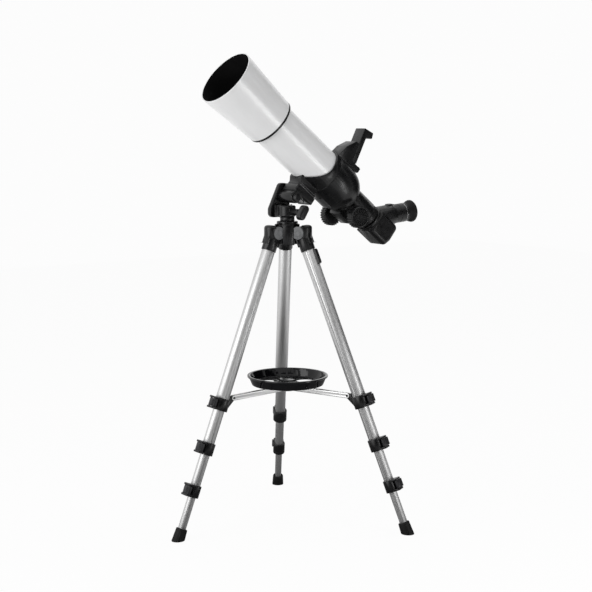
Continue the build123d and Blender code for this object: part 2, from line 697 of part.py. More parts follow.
# Pan yoke: spigot in the crown, column, drum and one upright arm on the far side that carries the axle
arm_face = -PLATFORM_HALF_WIDTH - 3 * SIDE_GAP
axle_head_face = PLATFORM_HALF_WIDTH + SIDE_GAP
with BuildPart() as pan_yoke:
    with BuildSketch(Plane.XY.offset(flange_top + COLUMN_HEIGHT)):
        Circle(DRUM_RADIUS)
        with Locations((arm_face / 2, 0)):
            Rectangle(-arm_face, 2 * BRIDGE_HALF_DEPTH)
    extrude(amount=DRUM_HEIGHT)
    fillet(edges().filter_by(GeomType.CIRCLE), DRUM_ROUND)
    with BuildSketch(Plane.XY.offset(flange_top - PAN_SPIGOT_LENGTH)):
        Circle(PAN_SPIGOT_RADIUS)
    extrude(amount=PAN_SPIGOT_LENGTH)
    with BuildSketch(Plane.XY.offset(flange_top)):
        Circle(COLUMN_RADIUS)
    extrude(amount=COLUMN_HEIGHT)
    arm_plane = Plane((arm_face, 0, flange_top), x_dir=(0, -1, 0), z_dir=(-1, 0, 0))
    with BuildSketch(arm_plane):
        with BuildLine():
            Polyline(
                (YOKE_ARM_BACK, YOKE_ARM_BOTTOM),
                (YOKE_ARM_FRONT, YOKE_ARM_BOTTOM),
                (YOKE_ARM_FRONT, YOKE_ARM_SHOULDER),
                (YOKE_ARM_TOP_FRONT, YOKE_ARM_TOP),
                (YOKE_ARM_TOP_BACK, YOKE_ARM_TOP),
                (YOKE_ARM_BACK, YOKE_ARM_SHOULDER),
                close=True,
            )
        make_face()
        fillet(vertices(), YOKE_ARM_ROUND)
    extrude(amount=YOKE_ARM_THICKNESS)
    with BuildSketch(beside_tilt(arm_face)):
        Circle(TILT_AXLE_RADIUS)
    extrude(amount=axle_head_face - arm_face)
    with BuildSketch(beside_tilt(axle_head_face)):
        Circle(AXLE_HEAD_RADIUS)
    extrude(amount=AXLE_HEAD_HEIGHT)
    with BuildSketch(beside_tilt(arm_face - YOKE_ARM_THICKNESS)):
        Circle(AXLE_HEAD_RADIUS)
    extrude(amount=-AXLE_HEAD_HEIGHT)
    with BuildSketch(beside_pan_lock(PAN_LOCK_SCREW_START)):
        Circle(PAN_LOCK_SCREW_RADIUS + RUNNING)
    extrude(amount=DRUM_RADIUS, mode=Mode.SUBTRACT)
finish(pan_yoke.part, "pan_yoke")

# Tilt platform: slab, web down to the barrel on the axle, and a pocket for the captive screw
slab_bottom = PLATFORM_TOP - PLATFORM_THICKNESS
with BuildPart() as tilt_platform:
    with BuildSketch(tilt_side):
        with Locations(((PLATFORM_FRONT + PLATFORM_BACK) / 2, PLATFORM_TOP - PLATFORM_THICKNESS / 2)):
            Rectangle(PLATFORM_FRONT - PLATFORM_BACK, PLATFORM_THICKNESS)
    extrude(amount=PLATFORM_HALF_WIDTH, both=True)
    fillet(edges().filter_by(Axis((0, 0, 0), upward)), PLATFORM_EDGE_ROUND)
    with BuildSketch(tilt_side):
        Circle(TILT_BARREL_RADIUS)
        with BuildLine():
            Polyline(
                (-TILT_BARREL_RADIUS, 0),
                (TILT_BARREL_RADIUS, 0),
                (PLATFORM_FRONT - PLATFORM_EDGE_ROUND, slab_bottom + PLATFORM_EDGE_ROUND),
                (-TILT_BARREL_RADIUS, slab_bottom + PLATFORM_EDGE_ROUND),
                close=True,
            )
        make_face()
    extrude(amount=PLATFORM_HALF_WIDTH, both=True)
    with BuildSketch(tilt_side):
        Circle(TILT_AXLE_RADIUS + RUNNING)
    extrude(amount=PLATFORM_HALF_WIDTH, both=True, mode=Mode.SUBTRACT)
    with BuildSketch(screw_plane.offset(slab_bottom)):
        Circle(SCREW_HOLE_RADIUS)
    extrude(amount=PLATFORM_THICKNESS, mode=Mode.SUBTRACT)
    with BuildSketch(screw_plane.offset(slab_bottom)):
        Circle(SCREW_HEAD_RADIUS + 3 * SIDE_GAP)
    extrude(amount=SCREW_POCKET_DEPTH, mode=Mode.SUBTRACT)
finish(tilt_platform.part, "tilt_platform")

# Pan lock: screw in the drum's near side, stem and wing grip
with BuildPart() as pan_lock:
    with BuildSketch(beside_pan_lock(PAN_LOCK_SCREW_START + SIDE_GAP)):
        Circle(PAN_LOCK_SCREW_RADIUS)
    extrude(amount=PAN_LOCK_STEM_START - PAN_LOCK_SCREW_START - SIDE_GAP)
    with BuildSketch(beside_pan_lock(PAN_LOCK_STEM_START)):
        Circle(PAN_LOCK_STEM_RADIUS)
    extrude(amount=WING_START - PAN_LOCK_STEM_START)
    with BuildSketch(beside_pan_lock(WING_START)):
        SlotOverall(WING_LENGTH, WING_WIDTH, rotation=90 - WING_LEAN)
    extrude(amount=WING_THICKNESS)
    fillet(edges().group_by(Axis.X)[-1], WING_THICKNESS / 4)
finish(pan_lock.part, "pan_lock")

# Captive screw, its head in the platform's pocket and its thread up in the telescope's foot
screw_head_top = slab_bottom + SCREW_POCKET_DEPTH - SIDE_GAP
with BuildPart() as camera_screw:
    with BuildSketch(screw_plane.offset(screw_head_top)):
        Circle(SCREW_HEAD_RADIUS)
    extrude(amount=-SCREW_HEAD_HEIGHT)
    with BuildSketch(screw_plane.offset(screw_head_top)):
        Circle(SCREW_RADIUS)
    extrude(amount=PLATFORM_TOP + SCREW_ENGAGEMENT - screw_head_top)
finish(camera_screw.part, "camera_screw")

# Main tube
with BuildPart() as main_tube:
    with BuildSketch(across_tube(TUBE_BACK)):
        Circle(tube_radius)
        Circle(tube_radius - TUBE_WALL, mode=Mode.SUBTRACT)
    extrude(amount=TUBE_FRONT - TUBE_BACK)
finish(main_tube.part, "main_tube")

# Dew shield: a cone that widens forwards
with BuildPart() as dew_shield:
    with BuildSketch(tube_side):
        with BuildLine():
            Polyline(
                (DEW_BACK, dew_back_radius - DEW_WALL),
                (DEW_BACK, dew_back_radius),
                (DEW_FRONT, dew_front_radius),
                (DEW_FRONT, dew_front_radius - DEW_WALL),
                close=True,
            )
        make_face()
    revolve(axis=optical_axis)
finish(dew_shield.part, "dew_shield")

# Lens cell: ring on the tube's front end that carries the lenses and the dew shield
lens_back = TUBE_FRONT + CELL_STOP_THICKNESS
with BuildPart() as lens_cell:
    with BuildSketch(tube_side):
        with BuildLine():
            Polyline(
                (CELL_BACK, tube_radius),
                (CELL_BACK, dew_back_radius),
                (DEW_BACK, dew_back_radius),
                (DEW_BACK, dew_back_radius - DEW_WALL),
                (CELL_FRONT, dew_back_radius - DEW_WALL),
                (CELL_FRONT, LENS_RADIUS),
                (lens_back, LENS_RADIUS),
                (lens_back, LENS_RADIUS - CELL_STOP_LIP),
                (TUBE_FRONT, LENS_RADIUS - CELL_STOP_LIP),
                (TUBE_FRONT, tube_radius),
                close=True,
            )
        make_face()
    revolve(axis=optical_axis)
finish(lens_cell.part, "lens_cell")

# Objective: a hollow-faced rear lens and a bulging front lens with a thin air gap
crown_back = lens_back + FLINT_EDGE + LENS_AIR_GAP
crown_front = crown_back + CROWN_LENS_EDGE
with BuildPart() as objective_lens:
    with BuildSketch(tube_side):
        with BuildLine():
            Polyline(
                (lens_back + FLINT_EDGE - FLINT_HOLLOW, 0),
                (lens_back, 0),
                (lens_back, LENS_RADIUS),
                (lens_back + FLINT_EDGE, LENS_RADIUS),
            )
            hollow_apex = (lens_back + FLINT_EDGE - FLINT_HOLLOW, 0)
            TangentArc(hollow_apex, (lens_back + FLINT_EDGE, LENS_RADIUS), tangent=(0, 1))
        make_face()
        with BuildLine():
            TangentArc((crown_back - FLINT_HOLLOW, 0), (crown_back, LENS_RADIUS), tangent=(0, 1))
            Line((crown_back, LENS_RADIUS), (crown_front, LENS_RADIUS))
            TangentArc((crown_front + CROWN_LENS_BULGE, 0), (crown_front, LENS_RADIUS), tangent=(0, 1))
            Line((crown_front + CROWN_LENS_BULGE, 0), (crown_back - FLINT_HOLLOW, 0))
        make_face()
    revolve(axis=optical_axis)
finish(objective_lens.part, "objective_lens")

# Tube collar: ring with a forward tongue underneath, and the foot that sits on the platform
with BuildPart() as tube_collar:
    with BuildSketch(across_tube(COLLAR_SEAM)):
        Circle(collar_radius)
    extrude(amount=COLLAR_TONGUE - COLLAR_SEAM)
    with BuildSketch(tube_side):
        with BuildLine():
            Polyline(
                (COLLAR_TONGUE, -collar_radius),
                (COLLAR_TONGUE, collar_radius),
                (COLLAR_EDGE_TOP, collar_radius),
                (COLLAR_EDGE_TOP, COLLAR_EDGE_TURN),
            )
            Spline(
                (COLLAR_EDGE_TOP, COLLAR_EDGE_TURN),
                (COLLAR_TONGUE, -collar_radius),
                tangents=((0, -1), (1, -1)),
            )
        make_face()
    extrude(amount=collar_radius, both=True, mode=Mode.SUBTRACT)
    with BuildSketch(tube_side):
        with BuildLine():
            Polyline(
                (FOOT_STEM_FRONT, 0),
                (FOOT_STEM_FRONT, -tube_radius),
                (FOOT_PLATE_FRONT, foot_bottom + FOOT_PLATE_THICKNESS),
                (FOOT_PLATE_FRONT, foot_bottom),
                (FOOT_PLATE_BACK + FOOT_STEM_INSET, foot_bottom),
                (FOOT_PLATE_BACK + FOOT_STEM_INSET, 0),
                close=True,
            )
        make_face()
    extrude(amount=FOOT_STEM_HALF_WIDTH, both=True)
    with BuildSketch(tube_side):
        plate_middle = (FOOT_PLATE_FRONT + FOOT_PLATE_BACK) / 2
        with Locations((plate_middle, foot_bottom + FOOT_PLATE_THICKNESS / 2)):
            Rectangle(FOOT_PLATE_FRONT - FOOT_PLATE_BACK, FOOT_PLATE_THICKNESS)
    extrude(amount=FOOT_PLATE_HALF_WIDTH, both=True)
    with BuildSketch(across_tube(COLLAR_SEAM)):
        Circle(tube_radius)
    extrude(amount=COLLAR_TONGUE - COLLAR_SEAM, mode=Mode.SUBTRACT)
    with BuildSketch(screw_plane.offset(PLATFORM_TOP)):
        Circle(SCREW_HOLE_RADIUS)
    extrude(amount=SCREW_ENGAGEMENT + 2 * SIDE_GAP, mode=Mode.SUBTRACT)
finish(tube_collar.part, "tube_collar")

# Rear housing: shell behind the collar, rounded shoulder, drawtube bore and pinion bracket
bracket_bottom = pinion_up - pitch_radius - BRACKET_WALL
with BuildPart() as rear_housing:
    with BuildSketch(tube_side):
        with BuildLine():
            Polyline(
                (HOUSING_BACK, housing_back_radius),
                (HOUSING_BACK, 0),
                (COLLAR_SEAM, 0),
                (COLLAR_SEAM, collar_radius),
                (HOUSING_SHOULDER, collar_radius),
            )
            TangentArc(
                (HOUSING_SHOULDER, collar_radius),
                (HOUSING_BACK, housing_back_radius),
                tangent=(-1, 0),
            )
        make_face()
    revolve(axis=optical_axis)
    with BuildSketch(tube_side):
        with Locations(((BRACKET_FRONT + BRACKET_BACK) / 2, bracket_bottom / 2)):
            Rectangle(BRACKET_FRONT - BRACKET_BACK, -bracket_bottom)
        fillet(vertices().group_by(Axis.Y)[0], BRACKET_ROUND)
    extrude(amount=BRACKET_HALF_WIDTH, both=True)
    with BuildSketch(across_tube(COLLAR_SEAM)):
        Circle(collar_radius - HOUSING_WALL)
    extrude(amount=HOUSING_SHOULDER - COLLAR_SEAM, mode=Mode.SUBTRACT)
    with BuildSketch(across_tube(COLLAR_SEAM)):
        Circle(DRAW_RADIUS + DRAW_FIT)
    extrude(amount=HOUSING_BACK - COLLAR_SEAM, mode=Mode.SUBTRACT)
    with BuildSketch(across_tube(HOUSING_BACK)):
        Circle(DRAW_RADIUS + SIDE_GAP)
    extrude(amount=BRACKET_BACK - HOUSING_BACK, mode=Mode.SUBTRACT)
    with BuildSketch(tube_side):
        with Locations((PINION_AT, pinion_up)):
            Circle(pitch_radius + GEAR_MODULE + SIDE_GAP)
    extrude(amount=RACK_HALF_WIDTH + SIDE_GAP, both=True, mode=Mode.SUBTRACT)
    with BuildSketch(tube_side):
        with Locations((PINION_AT, pinion_up)):
            Circle(SHAFT_RADIUS + RUNNING)
    extrude(amount=BRACKET_HALF_WIDTH, both=True, mode=Mode.SUBTRACT)
finish(rear_housing.part, "rear_housing")


def tooth_outline(tip, root, tip_width, root_width):
    """Four corners of a straight-sided tooth, from the root line to the tip line."""
    return (
        (-root_width / 2, root),
        (root_width / 2, root),
        (tip_width / 2, tip),
        (-tip_width / 2, tip),
    )


# Drawtube: slides in the housing, rack cut along the bottom, seat for the diagonal's nose at the back
nose_seat = DRAW_BACK + NOSE_HOLDER_SEAT
rack_front = PINION_AT + (RACK_FRONT_TEETH + 0.5) * tooth_pitch
rack_back = PINION_AT - (RACK_BACK_TEETH + 0.5) * tooth_pitch
with BuildPart() as drawtube:
    with BuildSketch(tube_side):
        with BuildLine():
            Polyline(
                (DRAW_FRONT, DRAW_BORE),
                (DRAW_FRONT, DRAW_RADIUS),
                (DRAW_BACK, DRAW_RADIUS),
                (DRAW_BACK, NOSE_HOLDER_RADIUS),
                (draw_end, NOSE_HOLDER_RADIUS),
                (draw_end, NOSE_RADIUS + RUNNING),
                (nose_seat, NOSE_RADIUS + RUNNING),
                (nose_seat, DRAW_BORE),
                close=True,
            )
        make_face()
    revolve(axis=optical_axis)
    with BuildSketch(tube_side):
        with BuildLine():
            Polyline(
                (rack_front, -DRAW_RADIUS - GEAR_MODULE),
                (rack_back, -DRAW_RADIUS - GEAR_MODULE),
                (rack_back, rack_pitch_line - TOOTH_ADDENDUM),
                (rack_front, rack_pitch_line - TOOTH_ADDENDUM),
                close=True,
            )
        make_face()
    extrude(amount=RACK_HALF_WIDTH, both=True, mode=Mode.SUBTRACT)
    with BuildSketch(tube_side):
        for tooth in range(-RACK_BACK_TEETH, RACK_FRONT_TEETH + 1):
            with Locations((PINION_AT + tooth * tooth_pitch, rack_pitch_line)):
                gap = tooth_outline(
                    TOOTH_DEDENDUM,
                    -TOOTH_ADDENDUM,
                    tooth_pitch - TOOTH_ROOT_WIDTH,
                    tooth_pitch - TOOTH_TIP_WIDTH,
                )
                Polygon(*gap, align=None)
    extrude(amount=RACK_HALF_WIDTH, both=True, mode=Mode.SUBTRACT)
finish(drawtube.part, "drawtube")

# Pinion shaft: one tooth points straight into the rack
shaft_end = KNOB_CENTRE_SIDE
knob_face = KNOB_CENTRE_SIDE + KNOB_WIDTH / 2
with BuildPart() as pinion_shaft:
    with BuildSketch(tube_side):
        with Locations((PINION_AT, pinion_up)):
            Circle(SHAFT_RADIUS)
    extrude(amount=shaft_end, both=True)
    with BuildSketch(tube_side):
        with Locations((PINION_AT, pinion_up)):
            Circle(pitch_radius - TOOTH_DEDENDUM)
        for tooth in range(PINION_TEETH):
            with Locations(Location((PINION_AT, pinion_up), 360 / PINION_TEETH * tooth)):
                leaf = tooth_outline(
                    pitch_radius + TOOTH_ADDENDUM,
                    pitch_radius - 2 * TOOTH_DEDENDUM,
                    TOOTH_TIP_WIDTH,
                    TOOTH_ROOT_WIDTH,
                )
                Polygon(*leaf, align=None)
    extrude(amount=RACK_HALF_WIDTH - SIDE_GAP, both=True)
finish(pinion_shaft.part, "pinion_shaft")

# Two grooved focus knobs on the shaft
with BuildPart() as focus_knobs:
    for side in (-1, 1):
        with BuildSketch(tube_side.offset(side * (KNOB_CENTRE_SIDE - KNOB_WIDTH / 2))):
            with Locations((PINION_AT, pinion_up)):
                Circle(KNOB_RADIUS)
                with PolarLocations(KNOB_RADIUS, KNOB_GROOVES):
                    Circle(KNOB_GROOVE_RADIUS, mode=Mode.SUBTRACT)
        extrude(amount=side * KNOB_WIDTH)
        with BuildSketch(tube_side.offset(side * shaft_end)):
            with Locations((PINION_AT, pinion_up)):
                Circle(SHAFT_RADIUS)
        extrude(amount=-side * KNOB_WIDTH, mode=Mode.SUBTRACT)
        with BuildSketch(tube_side.offset(side * knob_face)):
            with Locations((PINION_AT, pinion_up)):
                Circle(KNOB_RADIUS - 2 * KNOB_GROOVE_RADIUS)
                Circle(KNOB_HUB_RADIUS, mode=Mode.SUBTRACT)
        extrude(amount=-side * KNOB_FACE_RECESS, mode=Mode.SUBTRACT)
finish(focus_knobs.part, "focus_knobs")

# Diagonal housing: nose, flange ring, wedge-shaped body, eyepiece holder and the hollow for the prism
body_front = flange_front - FLANGE_RING_THICKNESS + SIDE_GAP
diagonal_outline = [
    (body_front, DIAGONAL_TOP),
    (body_front, DIAGONAL_BOTTOM),
    (DIAGONAL_HEEL, DIAGONAL_BOTTOM),
    (DIAGONAL_BACK, DIAGONAL_HEEL_UP),
    (DIAGONAL_BACK, DIAGONAL_TOP),
]
with BuildPart() as diagonal_housing:
    with BuildSketch(tube_side):
        with BuildLine():
            Polyline(diagonal_outline, close=True)
        make_face()
        fillet(vertices().group_by(Axis.X)[:-1], DIAGONAL_ROUND)
    extrude(amount=DIAGONAL_HALF_WIDTH, both=True)
    fillet(edges().group_by(Axis.X)[0] + edges().group_by(Axis.X)[-1], DIAGONAL_SIDE_ROUND)
    with BuildSketch(across_tube(flange_front)):
        Circle(FLANGE_RING_RADIUS)
    extrude(amount=-FLANGE_RING_THICKNESS)
    with BuildSketch(across_tube(flange_front)):
        Circle(NOSE_RADIUS)
    extrude(amount=NOSE_LENGTH)
    with BuildSketch(Plane(eye_side.origin, x_dir=(1, 0, 0), z_dir=eye_way).offset(HOLDER_START)):
        Circle(HOLDER_RADIUS)
    extrude(amount=HOLDER_END - HOLDER_START)
    with BuildSketch(Plane(eye_side.origin + eye_way * BOSS_AT, x_dir=eye_way, z_dir=-eye_side.y_dir)):
        Circle(BOSS_RADIUS)
    extrude(amount=HOLDER_RADIUS + BOSS_HEIGHT)
    with BuildSketch(tube_side):
        with BuildLine():
            Polyline(diagonal_outline, close=True)
        make_face()
        offset(amount=-DIAGONAL_WALL, kind=Kind.INTERSECTION)
    extrude(amount=DIAGONAL_HALF_WIDTH - DIAGONAL_WALL, both=True, mode=Mode.SUBTRACT)
    with BuildSketch(across_tube(flange_front + NOSE_LENGTH)):
        Circle(NOSE_RADIUS - NOSE_WALL)
    extrude(amount=body_front - DIAGONAL_WALL - flange_front - NOSE_LENGTH, mode=Mode.SUBTRACT)
    with BuildSketch(Plane(eye_side.origin, x_dir=(1, 0, 0), z_dir=eye_way).offset(HOLDER_END)):
        Circle(NOSE_RADIUS + RUNNING)
    extrude(amount=HOLDER_BORE_START - HOLDER_END, mode=Mode.SUBTRACT)
    with BuildSketch(Plane(eye_side.origin, x_dir=(1, 0, 0), z_dir=eye_way).offset(HOLDER_END)):
        Circle(HOLDER_PATH_RADIUS)
    extrude(amount=HOLDER_START - HOLDER_END, mode=Mode.SUBTRACT)
finish(diagonal_housing.part, "diagonal_housing")

# Erecting prism, resting on the floor of the hollow
prism_front = bend_at - PRISM_SETBACK
with BuildPart() as diagonal_prism:
    with BuildSketch(tube_side):
        with BuildLine():
            Polyline(
                (prism_front, PRISM_HALF_WIDTH),
                (prism_front, DIAGONAL_BOTTOM + DIAGONAL_WALL),
                (prism_front - PRISM_LENGTH, DIAGONAL_BOTTOM + DIAGONAL_WALL),
                (prism_front - PRISM_LENGTH, PRISM_HALF_WIDTH - PRISM_LENGTH / tan(radians(BEND))),
                close=True,
            )
        make_face()
    extrude(amount=PRISM_HALF_WIDTH, both=True)
finish(diagonal_prism.part, "diagonal_prism")

# Eyepiece: barrel in the holder, wider body outside it
eye_bore = NOSE_RADIUS - EYEPIECE_WALL
with BuildPart() as eyepiece_body:
    with BuildSketch(eye_side):
        with BuildLine():
            Polyline(
                (HOLDER_BORE_START + SIDE_GAP, eye_bore),
                (HOLDER_BORE_START + SIDE_GAP, NOSE_RADIUS),
                (HOLDER_END + SIDE_GAP, NOSE_RADIUS),
                (HOLDER_END + SIDE_GAP, EYEPIECE_RADIUS),
                (EYEPIECE_END, EYEPIECE_RADIUS),
                (EYEPIECE_END, eye_bore),
                close=True,
            )
        make_face()
    revolve(axis=eye_axis)
finish(eyepiece_body.part, "eyepiece_body")

# Field lens and eye lens, both bulging on each side
with BuildPart() as eyepiece_lenses:
    with BuildSketch(eye_side):
        for lens_at in (FIELD_LENS_AT, EYE_LENS_AT):
            lens_low = lens_at - EYE_LENS_THICKNESS / 2
            lens_high = lens_at + EYE_LENS_THICKNESS / 2
            with BuildLine():
                TangentArc((lens_low, 0), (lens_low + EYE_LENS_BULGE, eye_bore), tangent=(0, 1))
                Line((lens_low + EYE_LENS_BULGE, eye_bore), (lens_high - EYE_LENS_BULGE, eye_bore))
                TangentArc((lens_high, 0), (lens_high - EYE_LENS_BULGE, eye_bore), tangent=(0, 1))
                Line((lens_high, 0), (lens_low, 0))
            make_face()
    revolve(axis=eye_axis)
finish(eyepiece_lenses.part, "eyepiece_lenses")

# Soft eyecup, flaring to a lip
with BuildPart() as eyecup:
    with BuildSketch(eye_side):
        with BuildLine():
            Polyline(
                (EYEPIECE_END, EYECUP_BORE),
                (EYEPIECE_END, EYECUP_WAIST_RADIUS),
                (EYEPIECE_END + EYECUP_WAIST_LENGTH, EYECUP_WAIST_RADIUS),
                (EYEPIECE_END + EYECUP_WAIST_LENGTH + EYECUP_FLARE, EYECUP_LIP_RADIUS),
                (EYECUP_END, EYECUP_LIP_RADIUS),
                (EYECUP_END, EYECUP_BORE),
                close=True,
            )
        make_face()
    revolve(axis=eye_axis)
    fillet(edges().group_by(Axis(eye_side.origin, eye_way))[-1], EYECUP_ROUND)
finish(eyecup.part, "eyecup")

# Phone cradle: fin over the housing with a leaning face, a ledge with a lip, and a slot for the jaw
jaw_out = upward * sin(radians(CRADLE_LEAN)) - forward * cos(radians(CRADLE_LEAN))
rest_point = axis_point + forward * CRADLE_REST + upward * ledge_up
jaw_side = Plane(rest_point, x_dir=jaw_out, z_dir=(1, 0, 0))
cradle_top = collar_radius + CRADLE_RISE
face_top = CRADLE_REST + (cradle_top - ledge_up) * tan(radians(CRADLE_LEAN))
slot_length = TONGUE_LENGTH + JAW_TRAVEL
with BuildPart() as phone_cradle:
    with BuildSketch(tube_side):
        with BuildLine():
            Polyline(
                (CRADLE_FRONT, collar_radius - CRADLE_SINK),
                (CRADLE_NECK, collar_radius + CRADLE_NECK_RISE),
                (CRADLE_TOP_AT, cradle_top),
                (face_top, cradle_top),
                (CRADLE_REST, ledge_up),
                (LEDGE_BACK + LEDGE_LIP_THICKNESS, ledge_up),
                (LEDGE_BACK + LEDGE_LIP_THICKNESS, ledge_up + LEDGE_LIP),
                (LEDGE_BACK, ledge_up + LEDGE_LIP),
                (LEDGE_BACK, collar_radius - CRADLE_SINK),
                close=True,
            )
        make_face()
        fillet(vertices().group_by(Axis.Y)[-1], CRADLE_ROUND)
    extrude(amount=CRADLE_HALF_WIDTH, both=True)
    with BuildSketch(across_tube(LEDGE_BACK)):
        Circle(collar_radius)
    extrude(amount=CRADLE_FRONT - LEDGE_BACK, mode=Mode.SUBTRACT)
    with BuildSketch(jaw_side):
        with Locations((-(TONGUE_DEPTH + SIDE_GAP) / 2, slot_length / 2 + TONGUE_START)):
            Rectangle(TONGUE_DEPTH + SIDE_GAP, slot_length + 2 * SIDE_GAP)
    extrude(amount=TONGUE_HALF_WIDTH + SIDE_GAP, both=True, mode=Mode.SUBTRACT)
finish(phone_cradle.part, "phone_cradle")

# Sliding jaw: plate along the leaning face, hook at the top, tongue in the slot
jaw_face = SIDE_GAP + JAW_THICKNESS
with BuildPart() as phone_jaw:
    with BuildSketch(jaw_side):
        with BuildLine():
            Polyline(
                (SIDE_GAP, JAW_START),
                (jaw_face, JAW_START),
                (jaw_face, JAW_HOOK_UNDER),
                (jaw_face + JAW_HOOK_REACH, JAW_HOOK_TIP),
                (jaw_face + JAW_HOOK_REACH - JAW_ROUND, JAW_HEIGHT),
                (SIDE_GAP, JAW_HEIGHT),
                close=True,
            )
        make_face()
        fillet(vertices().group_by(Axis.X)[-2:], JAW_ROUND)
    extrude(amount=JAW_HALF_WIDTH, both=True)
    with BuildSketch(jaw_side):
        with BuildLine():
            Polyline(
                (-TONGUE_DEPTH, TONGUE_START),
                (-SIDE_GAP, TONGUE_START),
                (-SIDE_GAP, JAW_START),
                (JAW_THICKNESS / 2, JAW_START),
                (JAW_THICKNESS / 2, TONGUE_START + TONGUE_LENGTH),
                (-TONGUE_DEPTH, TONGUE_START + TONGUE_LENGTH),
                close=True,
            )
        make_face()
    extrude(amount=TONGUE_HALF_WIDTH, both=True)
finish(phone_jaw.part, "phone_jaw")
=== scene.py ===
# %% [markdown]
# # A small refractor telescope on a folding tripod
# The exact solids are already packed as a frame of named parts. This lesson dresses them:
# it rounds the moulded edges, turns the round pieces again with finer steps, adds the small
# details that a drawing leaves out, and gives every surface a finish of its own.
# All lengths are metres, Z is up, and the telescope points towards -Y.

# %% Load the frame
import json
from math import cos, pi, radians, sin

import bmesh
import bpy
from mathutils import Matrix, Vector


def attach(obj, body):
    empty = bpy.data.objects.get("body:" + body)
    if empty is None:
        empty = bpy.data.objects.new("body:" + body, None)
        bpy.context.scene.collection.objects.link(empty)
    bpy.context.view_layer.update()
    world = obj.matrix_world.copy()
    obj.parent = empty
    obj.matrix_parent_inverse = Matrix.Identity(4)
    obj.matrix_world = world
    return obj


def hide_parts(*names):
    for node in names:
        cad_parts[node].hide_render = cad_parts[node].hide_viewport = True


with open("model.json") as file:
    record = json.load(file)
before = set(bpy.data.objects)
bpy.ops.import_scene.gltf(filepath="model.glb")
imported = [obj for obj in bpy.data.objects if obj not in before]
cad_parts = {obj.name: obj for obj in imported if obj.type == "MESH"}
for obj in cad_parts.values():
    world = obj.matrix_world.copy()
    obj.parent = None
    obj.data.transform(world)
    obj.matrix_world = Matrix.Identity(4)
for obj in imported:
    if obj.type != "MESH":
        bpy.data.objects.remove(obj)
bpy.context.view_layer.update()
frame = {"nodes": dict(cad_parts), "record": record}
joints = {joint["name"]: joint for joint in frame["record"]["behaviour"]["joints"]}
body_of_node = {
    node: body for body, nodes in frame["record"]["behaviour"]["bodies"].items() for node in nodes
}
slot_of_node = {part["node"]: part["material_slot"] for part in frame["record"]["subparts"]}
scene = bpy.context.scene
scene.view_settings.view_transform = "Standard"

# %% [markdown]
# ## The camera
# The view was found by fitting the tripod's feet, locks and crown to the picture. It stands
# about 2.2 m away and a little above the head, and looks slightly down.

# %% Camera
VIEW_AZIMUTH = radians(55.0)
VIEW_PITCH = radians(7.35)
VIEW_YAW = radians(0.376)
VIEW_ROLL = radians(-0.08)
CAMERA_PLACE = Vector((1.802, -1.262, 0.665))
PICTURE_WIDTH = 592
FOCAL_PIXELS = 1329
SENSOR_MM = 36.0

level_ahead = Vector((-sin(VIEW_AZIMUTH), cos(VIEW_AZIMUTH), 0))
level_right = Vector((cos(VIEW_AZIMUTH), sin(VIEW_AZIMUTH), 0))
ahead = level_right * sin(VIEW_YAW) * cos(VIEW_PITCH) + level_ahead * cos(VIEW_YAW) * cos(VIEW_PITCH)
ahead.z = -sin(VIEW_PITCH)
flat_right = level_right * cos(VIEW_YAW) - level_ahead * sin(VIEW_YAW)
rolled_right = flat_right * cos(VIEW_ROLL) + flat_right.cross(ahead) * sin(VIEW_ROLL)
camera_up = rolled_right.cross(ahead)
camera_data = bpy.data.cameras.new("photo_camera")
camera_data.sensor_width = SENSOR_MM
camera_data.lens = SENSOR_MM * FOCAL_PIXELS / PICTURE_WIDTH
camera = bpy.data.objects.new("photo_camera", camera_data)
turn = Matrix((rolled_right, camera_up, -ahead)).transposed()
camera.matrix_world = Matrix.Translation(CAMERA_PLACE) @ turn.to_4x4()
scene.collection.objects.link(camera)
scene.camera = camera
print("lens", round(camera_data.lens, 1), "mm")

# %% [markdown]
# ## Places on the telescope
# The joints of the frame already hold the directions that matter. The focuser slides along
# the optical axis, the eyepiece slides along its own axis, and the tilt joint gives the point
# that the tube is measured from. A matrix for each one lets a piece be turned upright at the
# origin and then be set straight into its place.

# %% Axes and matrices
AXIS_ABOVE_TILT, AXIS_SETBACK = 0.0721, 0.0129
BEND_ALONG = -0.1448
forward = -Vector(joints["focus_slide"]["axis"]).normalized()
across = Vector((1, 0, 0))
upward = forward.cross(across).normalized()
eye_way = Vector(joints["eyepiece_slide"]["axis"]).normalized()
axis_point = Vector(joints["tilt"]["pos_m"]) + upward * AXIS_ABOVE_TILT - forward * AXIS_SETBACK
bend_point = axis_point + forward * BEND_ALONG


def placed(origin, x_axis, y_axis, z_axis):
    """Matrix that carries local X, Y, Z onto three directions at a point."""
    return Matrix.Translation(origin) @ Matrix((x_axis, y_axis, z_axis)).transposed().to_4x4()


tube_place = placed(axis_point, across, upward, forward)
eye_place = placed(bend_point, across, eye_way.cross(across), eye_way)
print("optical axis passes", [round(v, 4) for v in axis_point])

# %% [markdown]
# ## Finishes
# Each finish starts from a Principled shader. Noise on Object coordinates gives the slow
# changes of tone and the fine grain of a moulding, and a bump turns that grain into relief.
# The Bevel node softens what the light sees along an edge, and comparing it with the true
# normal finds the edges, which are painted a little paler: partly rubbed wear, partly a painted
# edge highlight.


# %% Node helpers
BEVEL_SAMPLES = 4
EDGE_BENT, EDGE_FLAT = 0.9, 0.99


def start_finish(name):
    """New node material: returns it with its nodes, its links and its Principled shader."""
    material = bpy.data.materials.new(name)
    material.use_nodes = True
    shader = material.node_tree.nodes["Principled BSDF"]
    return material, material.node_tree.nodes, material.node_tree.links, shader


